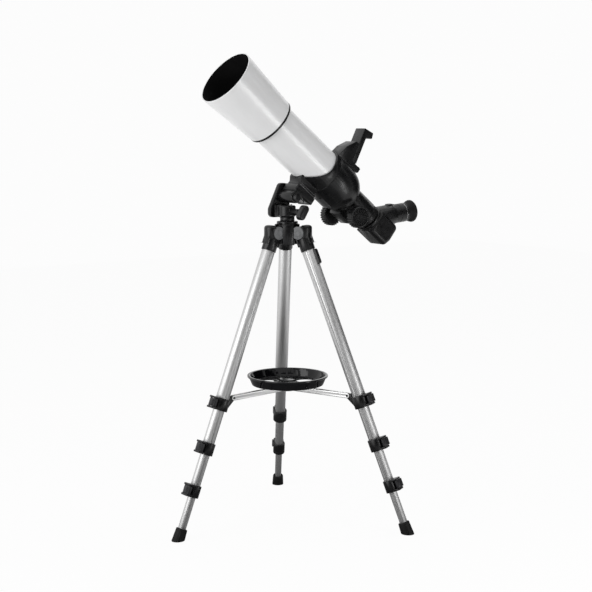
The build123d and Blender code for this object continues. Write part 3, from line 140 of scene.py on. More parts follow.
def noise_at(nodes, links, scale, detail=3.0, stretch=(1, 1, 1), turn=(0, 0, 0)):
    """Noise on Object coordinates, drawn out by a factor along each of three turned axes."""
    place = nodes.new("ShaderNodeTexCoord")
    mapping = nodes.new("ShaderNodeMapping")
    mapping.vector_type = "TEXTURE"
    mapping.inputs["Scale"].default_value = stretch
    mapping.inputs["Rotation"].default_value = turn
    noise = nodes.new("ShaderNodeTexNoise")
    noise.inputs["Scale"].default_value = scale
    noise.inputs["Detail"].default_value = detail
    links.new(place.outputs["Object"], mapping.inputs["Vector"])
    links.new(mapping.outputs["Vector"], noise.inputs["Vector"])
    return noise.outputs["Fac"]


def ramp(nodes, links, source, low, high, start=0.35, end=0.65):
    """Colour ramp between two colours or grey levels."""
    node = nodes.new("ShaderNodeValToRGB")
    node.color_ramp.elements[0].position = start
    node.color_ramp.elements[1].position = end
    for element, tone in zip(node.color_ramp.elements, (low, high)):
        element.color = (*tone, 1) if isinstance(tone, tuple) else (tone, tone, tone, 1)
    links.new(source, node.inputs["Fac"])
    return node.outputs["Color"]


def add_bump(nodes, links, shader, height, strength, distance, edge=0.0):
    """Bump from a height, over an optional softened edge of a given radius."""
    bump = nodes.new("ShaderNodeBump")
    bump.inputs["Strength"].default_value = strength
    bump.inputs["Distance"].default_value = distance
    links.new(height, bump.inputs["Height"])
    if edge:
        soft = nodes.new("ShaderNodeBevel")
        soft.samples = BEVEL_SAMPLES
        soft.inputs["Radius"].default_value = edge
        links.new(soft.outputs["Normal"], bump.inputs["Normal"])
    links.new(bump.outputs["Normal"], shader.inputs["Normal"])


def edge_tone(nodes, links, base, worn_and_highlit, radius):
    """Mixes a paler tone into a colour where the surface bends sharply: wear and a painted highlight.
    """
    soft = nodes.new("ShaderNodeBevel")
    soft.samples = BEVEL_SAMPLES
    soft.inputs["Radius"].default_value = radius
    true = nodes.new("ShaderNodeNewGeometry")
    dot = nodes.new("ShaderNodeVectorMath")
    dot.operation = "DOT_PRODUCT"
    links.new(soft.outputs["Normal"], dot.inputs[0])
    links.new(true.outputs["Normal"], dot.inputs[1])
    mask = ramp(nodes, links, dot.outputs["Value"], 1.0, 0.0, EDGE_BENT, EDGE_FLAT)
    mix = nodes.new("ShaderNodeMix")
    mix.data_type = "RGBA"
    factor, first, second = mix.inputs[0], mix.inputs[6], mix.inputs[7]
    links.new(mask, factor)
    links.new(base, first)
    second.default_value = (*worn_and_highlit, 1)
    return mix.outputs[2]


# %% [markdown]
# ### Moulded plastics and rubber
# The housing, head and leg fittings are satin black with a spark-eroded grain. The tray is
# the same plastic polished, the hinge covers are grey, and the rubber is duller still.

# %% Plastic finishes
TONE_SCALE, GLOSS_SCALE, GRAIN_SCALE = 35.0, 90.0, 2200.0
GLOSS_DETAIL, GRAIN_DETAIL, GLOSS_SPREAD = 4.0, 2.0, 0.05
GRAIN_DEPTH, GRAIN_EDGE, WORN_AND_HIGHLIT_EDGE = 0.0002, 0.0003, 0.0005


def moulded(name, dark, pale, rough, grain, worn_and_highlit=None, specular=0.5):
    """Moulded finish: slow change of tone, patchy gloss, fine grain, edges paler from wear and a
    painted highlight.
    """
    material, nodes, links, shader = start_finish(name)
    tone = ramp(nodes, links, noise_at(nodes, links, TONE_SCALE), dark, pale)
    if worn_and_highlit:
        # Paler sharp edges: partly rubbed wear, partly a painted edge highlight.
        tone = edge_tone(nodes, links, tone, worn_and_highlit, WORN_AND_HIGHLIT_EDGE)
    links.new(tone, shader.inputs["Base Color"])
    patches = noise_at(nodes, links, GLOSS_SCALE, GLOSS_DETAIL)
    gloss = ramp(nodes, links, patches, rough - GLOSS_SPREAD, rough + GLOSS_SPREAD)
    links.new(gloss, shader.inputs["Roughness"])
    shader.inputs["Specular IOR Level"].default_value = specular
    pits = noise_at(nodes, links, GRAIN_SCALE, GRAIN_DETAIL)
    add_bump(nodes, links, shader, pits, grain, GRAIN_DEPTH, GRAIN_EDGE)
    return material


# The sixth value of each finish is its paler edge tone: rubbed wear and a painted edge highlight.
black_plastic = moulded(
    "satin_black_moulding", (0.004, 0.004, 0.0045), (0.006, 0.006, 0.0065), 0.31, 0.05,
    (0.026, 0.026, 0.027), 0.32
)
lever_plastic = moulded(
    "lever_moulding", (0.020, 0.020, 0.022), (0.030, 0.030, 0.032), 0.42, 0.12, (0.06, 0.06, 0.06), 0.20
)
grey_plastic = moulded(
    "grey_moulding", (0.13, 0.133, 0.137), (0.17, 0.173, 0.177), 0.42, 0.12, (0.24, 0.24, 0.24), 0.25
)
tray_plastic = moulded(
    "polished_black_moulding", (0.003, 0.003, 0.004), (0.005, 0.005, 0.006), 0.07, 0.01, None, 0.30
)
rubber = moulded("black_rubber", (0.008, 0.008, 0.008), (0.012, 0.012, 0.012), 0.56, 0.16, None, 0.14)
flat_black = moulded(
    "flat_black_lining", (0.002, 0.002, 0.002), (0.004, 0.004, 0.004), 0.80, 0.25, None, 0.10
)
plate_grey = moulded(
    "bare_grey_plate", (0.055, 0.056, 0.058), (0.075, 0.076, 0.078), 0.42, 0.06,
    (0.22, 0.22, 0.22), 0.3
)
print("plastic finishes ready")

# %% [markdown]
# ### Enamel, metal and glass
# The tube is sprayed white enamel with a clear gloss and a trace of orange peel. The legs are
# drawn aluminium, so their grain is fine noise drawn out along the leg: the Mapping node turns
# it to each leg's own lean. The lenses carry a faint green coating.

# %% Enamel, metal and glass finishes
FINE_DEPTH = 0.0001
SPRAY_SCALE, SHEEN_SCALE, PEEL_SCALE, PEEL_STRENGTH = 12.0, 60.0, 700.0, 0.008
ENAMEL_ROUGH, COAT_WEIGHT, COAT_ROUGH = (0.31, 0.33), 0.4, 0.16
LINE_SCALE, LINE_STRETCH, LINE_STRENGTH, LINE_SPREAD = 500.0, (1, 1, 250), 0.006, 0.02
GLASS_SCALE, GLASS_PALER, GLASS_ROUGH, GLASS_IOR = 18.0, 1.04, (0.01, 0.03), 1.52


def enamel(name, low, high):
    """Sprayed enamel: even colour under a clear coat, with a trace of orange peel."""
    material, nodes, links, shader = start_finish(name)
    tone = ramp(nodes, links, noise_at(nodes, links, SPRAY_SCALE), low, high)
    links.new(tone, shader.inputs["Base Color"])
    gloss = ramp(nodes, links, noise_at(nodes, links, SHEEN_SCALE), *ENAMEL_ROUGH)
    links.new(gloss, shader.inputs["Roughness"])
    shader.inputs["Coat Weight"].default_value = COAT_WEIGHT
    shader.inputs["Coat Roughness"].default_value = COAT_ROUGH
    peel = noise_at(nodes, links, PEEL_SCALE, 1.0)
    add_bump(nodes, links, shader, peel, PEEL_STRENGTH, FINE_DEPTH)
    return material


def drawn_metal(name, low, high, rough, turn):
    """Metal with fine lines along one direction, turned from upright to the piece's lean."""
    material, nodes, links, shader = start_finish(name)
    lines = noise_at(nodes, links, LINE_SCALE, 2.0, LINE_STRETCH, turn)
    links.new(ramp(nodes, links, lines, low, high), shader.inputs["Base Color"])
    gloss = ramp(nodes, links, lines, rough - LINE_SPREAD, rough + LINE_SPREAD)
    links.new(gloss, shader.inputs["Roughness"])
    shader.inputs["Metallic"].default_value = 1.0
    add_bump(nodes, links, shader, lines, LINE_STRENGTH, FINE_DEPTH)
    return material


def coated_glass(name, tint):
    """Clear glass with a tinted coating that is hardly uneven."""
    material, nodes, links, shader = start_finish(name)
    cloud = noise_at(nodes, links, GLASS_SCALE)
    pale = tuple(min(1.0, channel * GLASS_PALER) for channel in tint)
    links.new(ramp(nodes, links, cloud, tint, pale), shader.inputs["Base Color"])
    links.new(ramp(nodes, links, cloud, *GLASS_ROUGH), shader.inputs["Roughness"])
    shader.inputs["Transmission Weight"].default_value = 1.0
    shader.inputs["IOR"].default_value = GLASS_IOR
    return material


white_enamel = enamel("white_enamel", (0.85, 0.853, 0.856), (0.88, 0.882, 0.884))
steel = drawn_metal("turned_steel", 0.42, 0.52, 0.30, (0, 0, 0))
lens_glass = coated_glass("coated_glass", (0.80, 0.92, 0.88))
LEG_COUNT = 3
leg_metal = []
for leg in range(1, LEG_COUNT + 1):
    way = -Vector(joints[f"leg{leg}_slide2"]["axis"])
    lean = Vector((0, 0, 1)).rotation_difference(way).to_euler()
    leg_metal.append(drawn_metal(f"drawn_aluminium_{leg}", 0.57, 0.60, 0.50, tuple(lean)))
spreader_metal = []
for leg in range(1, LEG_COUNT + 1):
    lug = Vector(joints[f"spreader_arm{leg}_fold"]["pos_m"])
    lean = Vector((0, 0, 1)).rotation_difference(Vector((lug.x, lug.y, 0))).to_euler()
    spreader_metal.append(drawn_metal(f"drawn_channel_{leg}", 0.60, 0.63, 0.40, tuple(lean)))
print("metal finishes", len(leg_metal) + len(spreader_metal) + 1)

# %% [markdown]
# ## Rounded mouldings
# A moulded part never has a knife edge, and a drawn tube shows no facets. For the many plastic
# and metal pieces the exact node is copied, its loose triangles are merged and its flat areas
# joined up, so that round faces shade smoothly, and a Bevel modifier rounds what is left of the
# sharp edges. The copy then stands for the node, which stays in the physics.

# %% Helpers for finished pieces
SHARP, FLAT = radians(35), radians(0.6)
NODE_MERGE = 1e-6


def show(name, mesh, body, slot, *materials):
    """Links a finished mesh as a smooth-shaded piece that rides on a body."""
    data = bpy.data.meshes.new(name)
    mesh.to_mesh(data)
    mesh.free()
    data.shade_smooth()
    for material in materials:
        data.materials.append(material)
    piece = bpy.data.objects.new(name, data)
    scene.collection.objects.link(piece)
    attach(piece, body)
    return piece


def round_edges(piece, width, segments=2):
    """Bevel modifier on every edge sharper than the limit, with flat faces kept flat."""
    bevel = piece.modifiers.new("rounded_edges", "BEVEL")
    bevel.width = width
    bevel.segments = segments
    bevel.profile = 0.5
    bevel.limit_method = "ANGLE"
    bevel.angle_limit = SHARP
    bevel.use_clamp_overlap = False
    bevel.harden_normals = True
    return piece


def rounded_copy(node, width, material, segments=2):
    """A copy of a node with its edges rounded, shown in place of the node."""
    mesh = bmesh.new()
    mesh.from_mesh(frame["nodes"][node].data)
    bmesh.ops.remove_doubles(mesh, verts=mesh.verts, dist=NODE_MERGE)
    bmesh.ops.dissolve_limit(mesh, angle_limit=FLAT, verts=mesh.verts, edges=mesh.edges)
    for face in mesh.faces:
        face.material_index = 0
    piece = show(f"{node}_shown", mesh, body_of_node[node], slot_of_node[node], material)
    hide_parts(node)
    return round_edges(piece, width, segments)


# %% Rounded plastic and metal pieces
TUBE_COUNT, LOCK_COUNT = 4, 3
ROUNDED = {
    "crown": 0.0008, "hinge_pins": 0.0006, "pan_yoke": 0.0012, "tilt_platform": 0.0008,
    "pan_lock": 0.0012, "tube_collar": 0.0007, "rear_housing": 0.0007, "lens_cell": 0.0004,
    "phone_cradle": 0.0010, "phone_jaw": 0.0008, "diagonal_housing": 0.0007, "drawtube": 0.0003,
    "spreader_hub": 0.0004,
}
for node, width in ROUNDED.items():
    rounded_copy(node, width, grey_plastic if node == "hinge_pins" else black_plastic)
rounded_copy("tray", 0.0009, tray_plastic, 3)
for leg in range(1, LEG_COUNT + 1):
    rounded_copy(f"leg{leg}_fittings", 0.0006, black_plastic)
    rounded_copy(f"leg{leg}_foot", 0.0006, rubber)
    for lock in range(2, LOCK_COUNT + 1):
        rounded_copy(f"leg{leg}_lock{lock}", 0.0005, black_plastic)
    for lever in range(1, LOCK_COUNT + 1):
        rounded_copy(f"leg{leg}_lever{lever}", 0.0005, lever_plastic)
    rounded_copy(f"spreader_arm{leg}", 0.0003, spreader_metal[leg - 1])
    for tube in range(1, TUBE_COUNT + 1):
        rounded_copy(f"leg{leg}_tube{tube}", 0.0002, leg_metal[leg - 1])

# %% [markdown]
# ## Screw, shaft and glass
# The screw, the pinion shaft and the lenses are exact already and hardly show, so those nodes
# stay and only take their finish.

# %% Finishes on the nodes that stay
STAYING = {
    "camera_screw": steel, "pinion_shaft": steel,
    "objective_lens": lens_glass, "diagonal_prism": lens_glass, "eyepiece_lenses": lens_glass,
}
for node, material in STAYING.items():
    data = frame["nodes"][node].data
    data.materials.clear()
    data.materials.append(material)
print("dressed nodes", len(STAYING))

# %% [markdown]
# ## Turned pieces
# Tubes, rings and cups are turned on a lathe in Blender too: a profile of radius and height
# is drawn as a chain of edges, spun a full turn about its axis, merged, and set in place.

# %% Helpers for turned pieces
SPIN_MERGE = 1e-7


def spun(profile, place, steps, closed):
    """Mesh of (radius, height) points joined in a chain, spun about local Z and set in place."""
    mesh = bmesh.new()
    corners = [mesh.verts.new((radius, 0, height)) for radius, height in profile]
    chain = corners + corners[:1] if closed else corners
    for start, end in zip(chain, chain[1:]):
        mesh.edges.new((start, end))
    bmesh.ops.spin(
        mesh, geom=mesh.verts[:] + mesh.edges[:], cent=(0, 0, 0), axis=(0, 0, 1),
        angle=2 * pi, steps=steps, use_merge=True,
    )
    bmesh.ops.remove_doubles(mesh, verts=mesh.verts, dist=SPIN_MERGE)
    bmesh.ops.recalc_face_normals(mesh, faces=mesh.faces)
    bmesh.ops.transform(mesh, matrix=place, verts=mesh.verts)
    return mesh


def turned(name, profile, place, body, slot, *materials, steps=96):
    """Shows a tube, ring or cup whose profile is a closed outline."""
    return show(name, spun(profile, place, steps, True), body, slot, *materials)


# %% [markdown]
# ### Dew shield and main tube
# The dew shield widens forwards. Outside it is enamelled, with a small rolled rim, and inside
# it is lined flat black and cut with fine steps that stop stray light.

# %% Dew shield
SHIELD_BACK, SHIELD_FRONT = 0.1226, 0.230
SHIELD_BACK_RADIUS, SHIELD_FRONT_RADIUS, SHIELD_WALL = 0.0426, 0.0504, 0.002
BAFFLES, BAFFLE_DEPTH, BAFFLE_FALL, LINING_BACK = 18, 0.0005, 0.2, 0.139
RIM_DEPTH, SHIELD_STEPS, LINED = 0.003, 128, -0.2


def shield_radius(along):
    """Outer radius of the dew shield at a place along the optical axis."""
    share = (along - SHIELD_BACK) / (SHIELD_FRONT - SHIELD_BACK)
    return SHIELD_BACK_RADIUS + share * (SHIELD_FRONT_RADIUS - SHIELD_BACK_RADIUS)


profile = [(SHIELD_BACK_RADIUS - SHIELD_WALL, SHIELD_BACK), (SHIELD_BACK_RADIUS, SHIELD_BACK)]
profile.append((SHIELD_FRONT_RADIUS, SHIELD_FRONT))
profile.append((SHIELD_FRONT_RADIUS - SHIELD_WALL, SHIELD_FRONT))
step = (SHIELD_FRONT - RIM_DEPTH - LINING_BACK) / BAFFLES
for ridge in range(BAFFLES):
    top = SHIELD_FRONT - RIM_DEPTH - ridge * step
    inside = shield_radius(top) - SHIELD_WALL
    profile.append((inside, top))
    profile.append((inside - BAFFLE_DEPTH, top - step * BAFFLE_FALL))
dew_shield = turned(
    "dew_shield_shown", profile, tube_place, "telescope", "white_enamel",
    white_enamel, flat_black, steps=SHIELD_STEPS,
)
for face in dew_shield.data.polygons:
    middle = face.center - axis_point
    outwards = middle - forward * middle.dot(forward)
    if face.normal.dot(outwards.normalized()) < LINED:
        face.material_index = 1
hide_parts("dew_shield")
round_edges(dew_shield, 0.0005)
print("dew shield faces", len(dew_shield.data.polygons))

# %% Main tube
TUBE_BACK, TUBE_FRONT, TUBE_RADIUS, TUBE_WALL = -0.017, 0.126, 0.0374, 0.0012
main_tube = turned(
    "main_tube_shown",
    [(TUBE_RADIUS, TUBE_BACK), (TUBE_RADIUS, TUBE_FRONT),
     (TUBE_RADIUS - TUBE_WALL, TUBE_FRONT), (TUBE_RADIUS - TUBE_WALL, TUBE_BACK)],
    tube_place, "telescope", "white_enamel", white_enamel, steps=SHIELD_STEPS,
)
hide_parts("main_tube")
round_edges(main_tube, 0.0002)
print("main tube", round(TUBE_FRONT - TUBE_BACK, 3), "m long")

# %% [markdown]
# ### Eyepiece and eyecup
# The eyepiece is turned with a shallow waist and one bright ring. The eyecup is soft rubber:
# it narrows, flares out to a thick lip, and is hollow in front of the eye lens.

# %% Eyepiece
EYE_BORE, BARREL_RADIUS, EYE_RADIUS = 0.0119, 0.0159, 0.0165
EYE_BACK, EYE_SHOULDER, EYE_FRONT = 0.0323, 0.0523, 0.0800
GROOVE_BACK, GROOVE_FRONT, GROOVE_SLOPE, GROOVE_DEPTH = 0.0620, 0.0640, 0.0006, 0.0005
BRIGHT_BACK, BRIGHT_FRONT, BRIGHT_EDGE = 0.0748, 0.0756, 0.0001
BRIGHT_SINK, BRIGHT_RISE = 0.0004, 0.0002
EYECUP_PROFILE = [
    (0.0115, 0.0800), (0.0156, 0.0800), (0.0154, 0.0822), (0.0157, 0.0842), (0.0167, 0.0866),
    (0.0183, 0.0898), (0.0192, 0.0920), (0.0195, 0.0935), (0.0194, 0.0947), (0.0188, 0.0954),
    (0.0178, 0.0953), (0.0160, 0.0925), (0.0115, 0.0895),
]
groove_floor = EYE_RADIUS - GROOVE_DEPTH
eyepiece = turned(
    "eyepiece_body_shown",
    [(EYE_BORE, EYE_BACK), (BARREL_RADIUS, EYE_BACK), (BARREL_RADIUS, EYE_SHOULDER),
     (EYE_RADIUS, EYE_SHOULDER), (EYE_RADIUS, GROOVE_BACK),
     (groove_floor, GROOVE_BACK + GROOVE_SLOPE), (groove_floor, GROOVE_FRONT - GROOVE_SLOPE),
     (EYE_RADIUS, GROOVE_FRONT), (EYE_RADIUS, EYE_FRONT), (EYE_BORE, EYE_FRONT)],
    eye_place, "eyepiece", "black_plastic", black_plastic,
)
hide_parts("eyepiece_body")
round_edges(eyepiece, 0.0003)
bright_ring = turned(
    "eyepiece_bright_ring",
    [(EYE_RADIUS - BRIGHT_SINK, BRIGHT_BACK), (EYE_RADIUS + BRIGHT_RISE, BRIGHT_BACK + BRIGHT_EDGE),
     (EYE_RADIUS + BRIGHT_RISE, BRIGHT_FRONT - BRIGHT_EDGE), (EYE_RADIUS - BRIGHT_SINK, BRIGHT_FRONT)],
    eye_place, "eyepiece", "steel", steel,
)
eyecup = turned("eyecup_shown", EYECUP_PROFILE, eye_place, "eyepiece", "rubber", rubber)
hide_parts("eyecup")
print("eyepiece pieces", len([eyepiece, bright_ring, eyecup]))

# %% [markdown]
# ## Details that a drawing leaves out
# Knurling, ribs, screw heads, pads and plates are small solids repeated round an axis or along
# a face. Three helpers are enough: one adds a box in a place, one adds a turned shape, and one
# gives a place that is turned about an axis.


# %% Helpers for small details
def add_box(mesh, size, place):
    """Adds a box of a given size, centred on a place."""
    bmesh.ops.create_cube(mesh, size=1.0, matrix=place @ Matrix.Diagonal((*size, 1)))


def add_turned(mesh, profile, place, steps=48):
    """Adds a turned shape whose profile starts and ends on the axis."""
    part = spun(profile, place, steps, False)
    carrier = bpy.data.meshes.new("carrier")
    part.to_mesh(carrier)
    part.free()
    mesh.from_mesh(carrier)
    bpy.data.meshes.remove(carrier)


def round_about(place, count):
    """Places turned evenly about local Z."""
    return [place @ Matrix.Rotation(2 * pi * k / count, 4, "Z") for k in range(count)]


# %% [markdown]
# ### Focus knobs
# Each knob is a dished disc with a ribbed rim and thin spokes on its face. Both sit on the
# pinion shaft, so they make one piece that turns with it.

# %% Focus knobs
KNOB_SIDE, KNOB_WIDTH, RIM_RIBS, FACE_SPOKES = 0.038, 0.014, 26, 16
KNOB_PROFILE = [
    (0, 0), (0.0160, 0), (0.0173, 0.0010), (0.0173, 0.0130), (0.0165, 0.0140), (0.0152, 0.0140),
    (0.0146, 0.0122), (0.0076, 0.0122), (0.0070, 0.0138), (0.0030, 0.0138), (0.0026, 0.0130),
    (0, 0.0130),
]
KNOB_STEPS = 80
RIB_SIZE, RIB_MIDDLE = (0.0024, 0.0022, 0.0120), (0.0178, 0, 0.0070)
SPOKE_SIZE, SPOKE_MIDDLE = (0.0074, 0.0011, 0.0020), (0.0111, 0, 0.0129)
shaft_point = Vector(joints["focus_knob_turn"]["pos_m"])
mesh = bmesh.new()
for side in (-1, 1):
    outwards = across * side
    inner_face = shaft_point + outwards * (KNOB_SIDE - KNOB_WIDTH / 2)
    place = placed(inner_face, forward, outwards.cross(forward), outwards)
    add_turned(mesh, KNOB_PROFILE, place, KNOB_STEPS)
    for spot in round_about(place, RIM_RIBS):
        add_box(mesh, RIB_SIZE, spot @ Matrix.Translation(RIB_MIDDLE))
    for spot in round_about(place, FACE_SPOKES):
        add_box(mesh, SPOKE_SIZE, spot @ Matrix.Translation(SPOKE_MIDDLE))
focus_knobs = show("focus_knobs_shown", mesh, "focus_wheel", "black_plastic", black_plastic)
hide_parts("focus_knobs")
round_edges(focus_knobs, 0.0002, 1)
print("knob faces", len(focus_knobs.data.polygons))

# %% [markdown]
# ### Clamp ring, plate and trims on the telescope
# A ribbed ring holds the diagonal's nose in the drawtube. Under the housing sits a bare grey
# plate, curved with the shell, and two thin pale grey ribs run along each side of the foot,
# painting the highlight lines on its edges.

# %% Clamp ring
RING_BACK, RING_BORE, RING_RADIUS, RING_LENGTH = -0.1412, 0.0209, 0.0224, 0.0104
RING_FALL, RING_CHAMFER = 0.0005, 0.0008
RING_RIBS, RING_RIB_SIZE = 48, (0.0010, 0.0012, 0.0080)
ring_place = tube_place @ Matrix.Translation((0, 0, RING_BACK))
clamp_ring = turned(
    "drawtube_clamp_ring",
    [(RING_BORE, 0), (RING_RADIUS - RING_FALL, 0), (RING_RADIUS, RING_CHAMFER),
     (RING_RADIUS, RING_LENGTH - RING_CHAMFER), (RING_RADIUS - RING_FALL, RING_LENGTH),
     (RING_BORE, RING_LENGTH)],
    ring_place, "drawtube", "black_plastic", black_plastic,
)
mesh = bmesh.new()
for spot in round_about(ring_place, RING_RIBS):
    middle = Matrix.Translation((RING_RADIUS, 0, RING_LENGTH / 2))
    add_box(mesh, RING_RIB_SIZE, spot @ middle)
ring_ribs = show("drawtube_clamp_ring_ribs", mesh, "drawtube", "black_plastic", black_plastic)
for piece in (clamp_ring, ring_ribs):
    round_edges(piece, 0.0002, 1)
print("clamp ring ribs", RING_RIBS)

# %% Bare plate under the housing
PLATE_BACK, PLATE_FRONT, PLATE_RADIUS, PLATE_RISE = -0.060, -0.036, 0.0388, 0.0017
PLATE_ANGLE, PLATE_STEPS = radians(34), 16
mesh = bmesh.new()
corners = [
    mesh.verts.new((0, -radius, height))
    for radius, height in (
        (PLATE_RADIUS, PLATE_BACK), (PLATE_RADIUS + PLATE_RISE, PLATE_BACK),
        (PLATE_RADIUS + PLATE_RISE, PLATE_FRONT), (PLATE_RADIUS, PLATE_FRONT),
    )
]
strip = mesh.faces.new(corners)
half_back = Matrix.Rotation(-PLATE_ANGLE / 2, 3, "Z")
bmesh.ops.rotate(mesh, cent=(0, 0, 0), matrix=half_back, verts=mesh.verts)
bmesh.ops.spin(
    mesh, geom=[strip, *strip.edges, *strip.verts], cent=(0, 0, 0), axis=(0, 0, 1),
    angle=PLATE_ANGLE, steps=PLATE_STEPS,
)
bmesh.ops.recalc_face_normals(mesh, faces=mesh.faces)
bmesh.ops.transform(mesh, matrix=tube_place, verts=mesh.verts)
plate = show("housing_plate", mesh, "telescope", "grey_plastic", plate_grey)
round_edges(plate, 0.0002, 2)
print("plate faces", len(plate.data.polygons))

# %% Pale ribs along the foot, painting the highlights on its edges
FOOT_BACK, FOOT_FRONT, FOOT_SIDE = -0.018, 0.019, 0.018
FOOT_RIB_HEIGHTS, FOOT_RIB_SHORTER = (-0.0462, -0.0500), 0.001
FOOT_RIB_OUT, FOOT_RIB_TALL = 0.0008, 0.0007
mesh = bmesh.new()
for side in (-1, 1):
    for height in FOOT_RIB_HEIGHTS:
        middle = Matrix.Translation((side * FOOT_SIDE, height, (FOOT_BACK + FOOT_FRONT) / 2))
        rib_length = FOOT_FRONT - FOOT_BACK - FOOT_RIB_SHORTER
        add_box(mesh, (FOOT_RIB_OUT, FOOT_RIB_TALL, rib_length), tube_place @ middle)
# Painted highlight: pale grey ribs where the foot's edges catch the light.
foot_highlight_ribs = show("foot_painted_highlight_ribs", mesh, "telescope", "grey_plastic", plate_grey)
round_edges(foot_highlight_ribs, 0.00015, 1)
print("foot ribs", len(foot_highlight_ribs.data.polygons) // 6)

# %% [markdown]
# ### Phone cradle pads
# The jaw and the lip of the ledge carry ribbed rubber pads, so that a phone doesn't slip. A flat
# rail stiffens the ledge on each side.

# %% Pads
CRADLE_LEAN, CRADLE_ALONG, CRADLE_UP = radians(12.5), -0.046, 0.047
JAW_RIBS, JAW_RIB_START, JAW_RIB_STEP, JAW_FACE = 14, 0.0055, 0.0030, 0.0099
JAW_RIB_SIZE = (0.020, 0.0016, 0.0008)
LEDGE_RIBS, LEDGE_RIB_STEP, LIP_UP, LIP_ALONG = 5, 0.005, 0.0435, -0.0651
LEDGE_RIB_SIZE = (0.0025, 0.0080, 0.0008)
jaw_way = forward * sin(CRADLE_LEAN) + upward * cos(CRADLE_LEAN)
jaw_out = upward * sin(CRADLE_LEAN) - forward * cos(CRADLE_LEAN)
rest_point = axis_point + forward * CRADLE_ALONG + upward * CRADLE_UP
jaw_place = placed(rest_point, across, jaw_way, across.cross(jaw_way))
face_sign = 1 if across.cross(jaw_way).dot(jaw_out) > 0 else -1
mesh = bmesh.new()
for row in range(JAW_RIBS):
    spot = Matrix.Translation((0, JAW_RIB_START + row * JAW_RIB_STEP, face_sign * JAW_FACE))
    add_box(mesh, JAW_RIB_SIZE, jaw_place @ spot)
jaw_pad = show("jaw_pad", mesh, "phone_jaw", "rubber", rubber)
mesh = bmesh.new()
for row in range(LEDGE_RIBS):
    sideways = (row - (LEDGE_RIBS - 1) / 2) * LEDGE_RIB_STEP
    spot = Matrix.Translation((sideways, LIP_UP, LIP_ALONG))
    add_box(mesh, LEDGE_RIB_SIZE, tube_place @ spot)
lip_pad = show("ledge_pad", mesh, "telescope", "rubber", rubber)
for pad in (jaw_pad, lip_pad):
    round_edges(pad, 0.0002, 1)
print("pad ribs", JAW_RIBS + LEDGE_RIBS)

# %% Rails on the sides of the ledge
RAIL_LENGTH, RAIL_HEIGHT, RAIL_OUT, RAIL_AT, RAIL_UP = 0.029, 0.0085, 0.0016, -0.0515, 0.0433
CRADLE_SIDE = 0.015
mesh = bmesh.new()
for side in (-1, 1):
    middle = Matrix.Translation((side * (CRADLE_SIDE + RAIL_OUT / 4), RAIL_UP, RAIL_AT))
    add_box(mesh, (RAIL_OUT, RAIL_HEIGHT, RAIL_LENGTH), tube_place @ middle)
rails = show("ledge_rails", mesh, "telescope", "black_plastic", black_plastic)
round_edges(rails, 0.0005)
print("ledge rails", len(rails.data.polygons) // 6)

# %% [markdown]
# ### Details on the legs
# Every flip lever has thumb ribs near its tip, each hinge cover has a shallow round boss, and
# each spreader channel has a dark strip lying in it, which paints the shade inside the channel.
# One leg carries a small tab below its socket.

# %% Thumb ribs on the levers
LEVER_LENGTH, LEVER_HALF, LEVER_FLARE, LEVER_HEIGHT = 0.017, 0.0022, 0.0012, 0.013
THUMB_RIB_SHARES = (0.55, 0.66, 0.77, 0.88)
THUMB_RIB_SIZE = (0.0010, 0.0008, LEVER_HEIGHT * 0.8)


def leg_ways(leg):
    """Directions out of a leg, across it and up along it."""
    leg_up = -Vector(joints[f"leg{leg}_slide2"]["axis"])
    spoke = Vector((-leg_up.x, -leg_up.y, 0)).normalized()
    leg_out = (spoke - leg_up * spoke.dot(leg_up)).normalized()
    return leg_out, leg_up.cross(leg_out), leg_up


thumb_ribs = 0
for leg in range(1, LEG_COUNT + 1):
    leg_out, leg_side, leg_up = leg_ways(leg)
    for lever in range(1, LOCK_COUNT + 1):
        body = f"leg{leg}_lever{lever}"
        pin = Vector(joints[f"{body}_flip"]["pos_m"])
        mesh = bmesh.new()
        for share in THUMB_RIB_SHARES:
            rise = leg_out * (LEVER_HALF + LEVER_FLARE * share)
            spot = pin + rise + leg_side * (LEVER_LENGTH * share)
            add_box(mesh, THUMB_RIB_SIZE, placed(spot, leg_out, leg_side, leg_up))
            thumb_ribs += 1
        ribs = show(f"{body}_ribs", mesh, body, "lever_plastic", lever_plastic)
        round_edges(ribs, 0.0002, 1)
print("thumb ribs", thumb_ribs)

# %% Hinge cover bosses
COVER_FACE, BOSS_SINK = 0.0119, 0.0002
BOSS_PROFILE = [
    (0, 0), (0.0062, 0), (0.0058, 0.0005), (0.0044, 0.0005), (0.0040, 0.0003), (0, 0.0003),
]
mesh = bmesh.new()
plumb = Vector((0, 0, 1))
for leg in range(1, LEG_COUNT + 1):
    hinge = Vector(joints[f"leg{leg}_fold"]["pos_m"])
    pin_way = Vector(joints[f"leg{leg}_fold"]["axis"]).normalized()
    for out in (pin_way, -pin_way):
        place = placed(hinge + out * (COVER_FACE - BOSS_SINK), plumb, out.cross(plumb), out)
        add_turned(mesh, BOSS_PROFILE, place)
bosses = show("hinge_cover_bosses", mesh, "crown", "grey_plastic", grey_plastic)
print("boss faces", len(bosses.data.polygons))

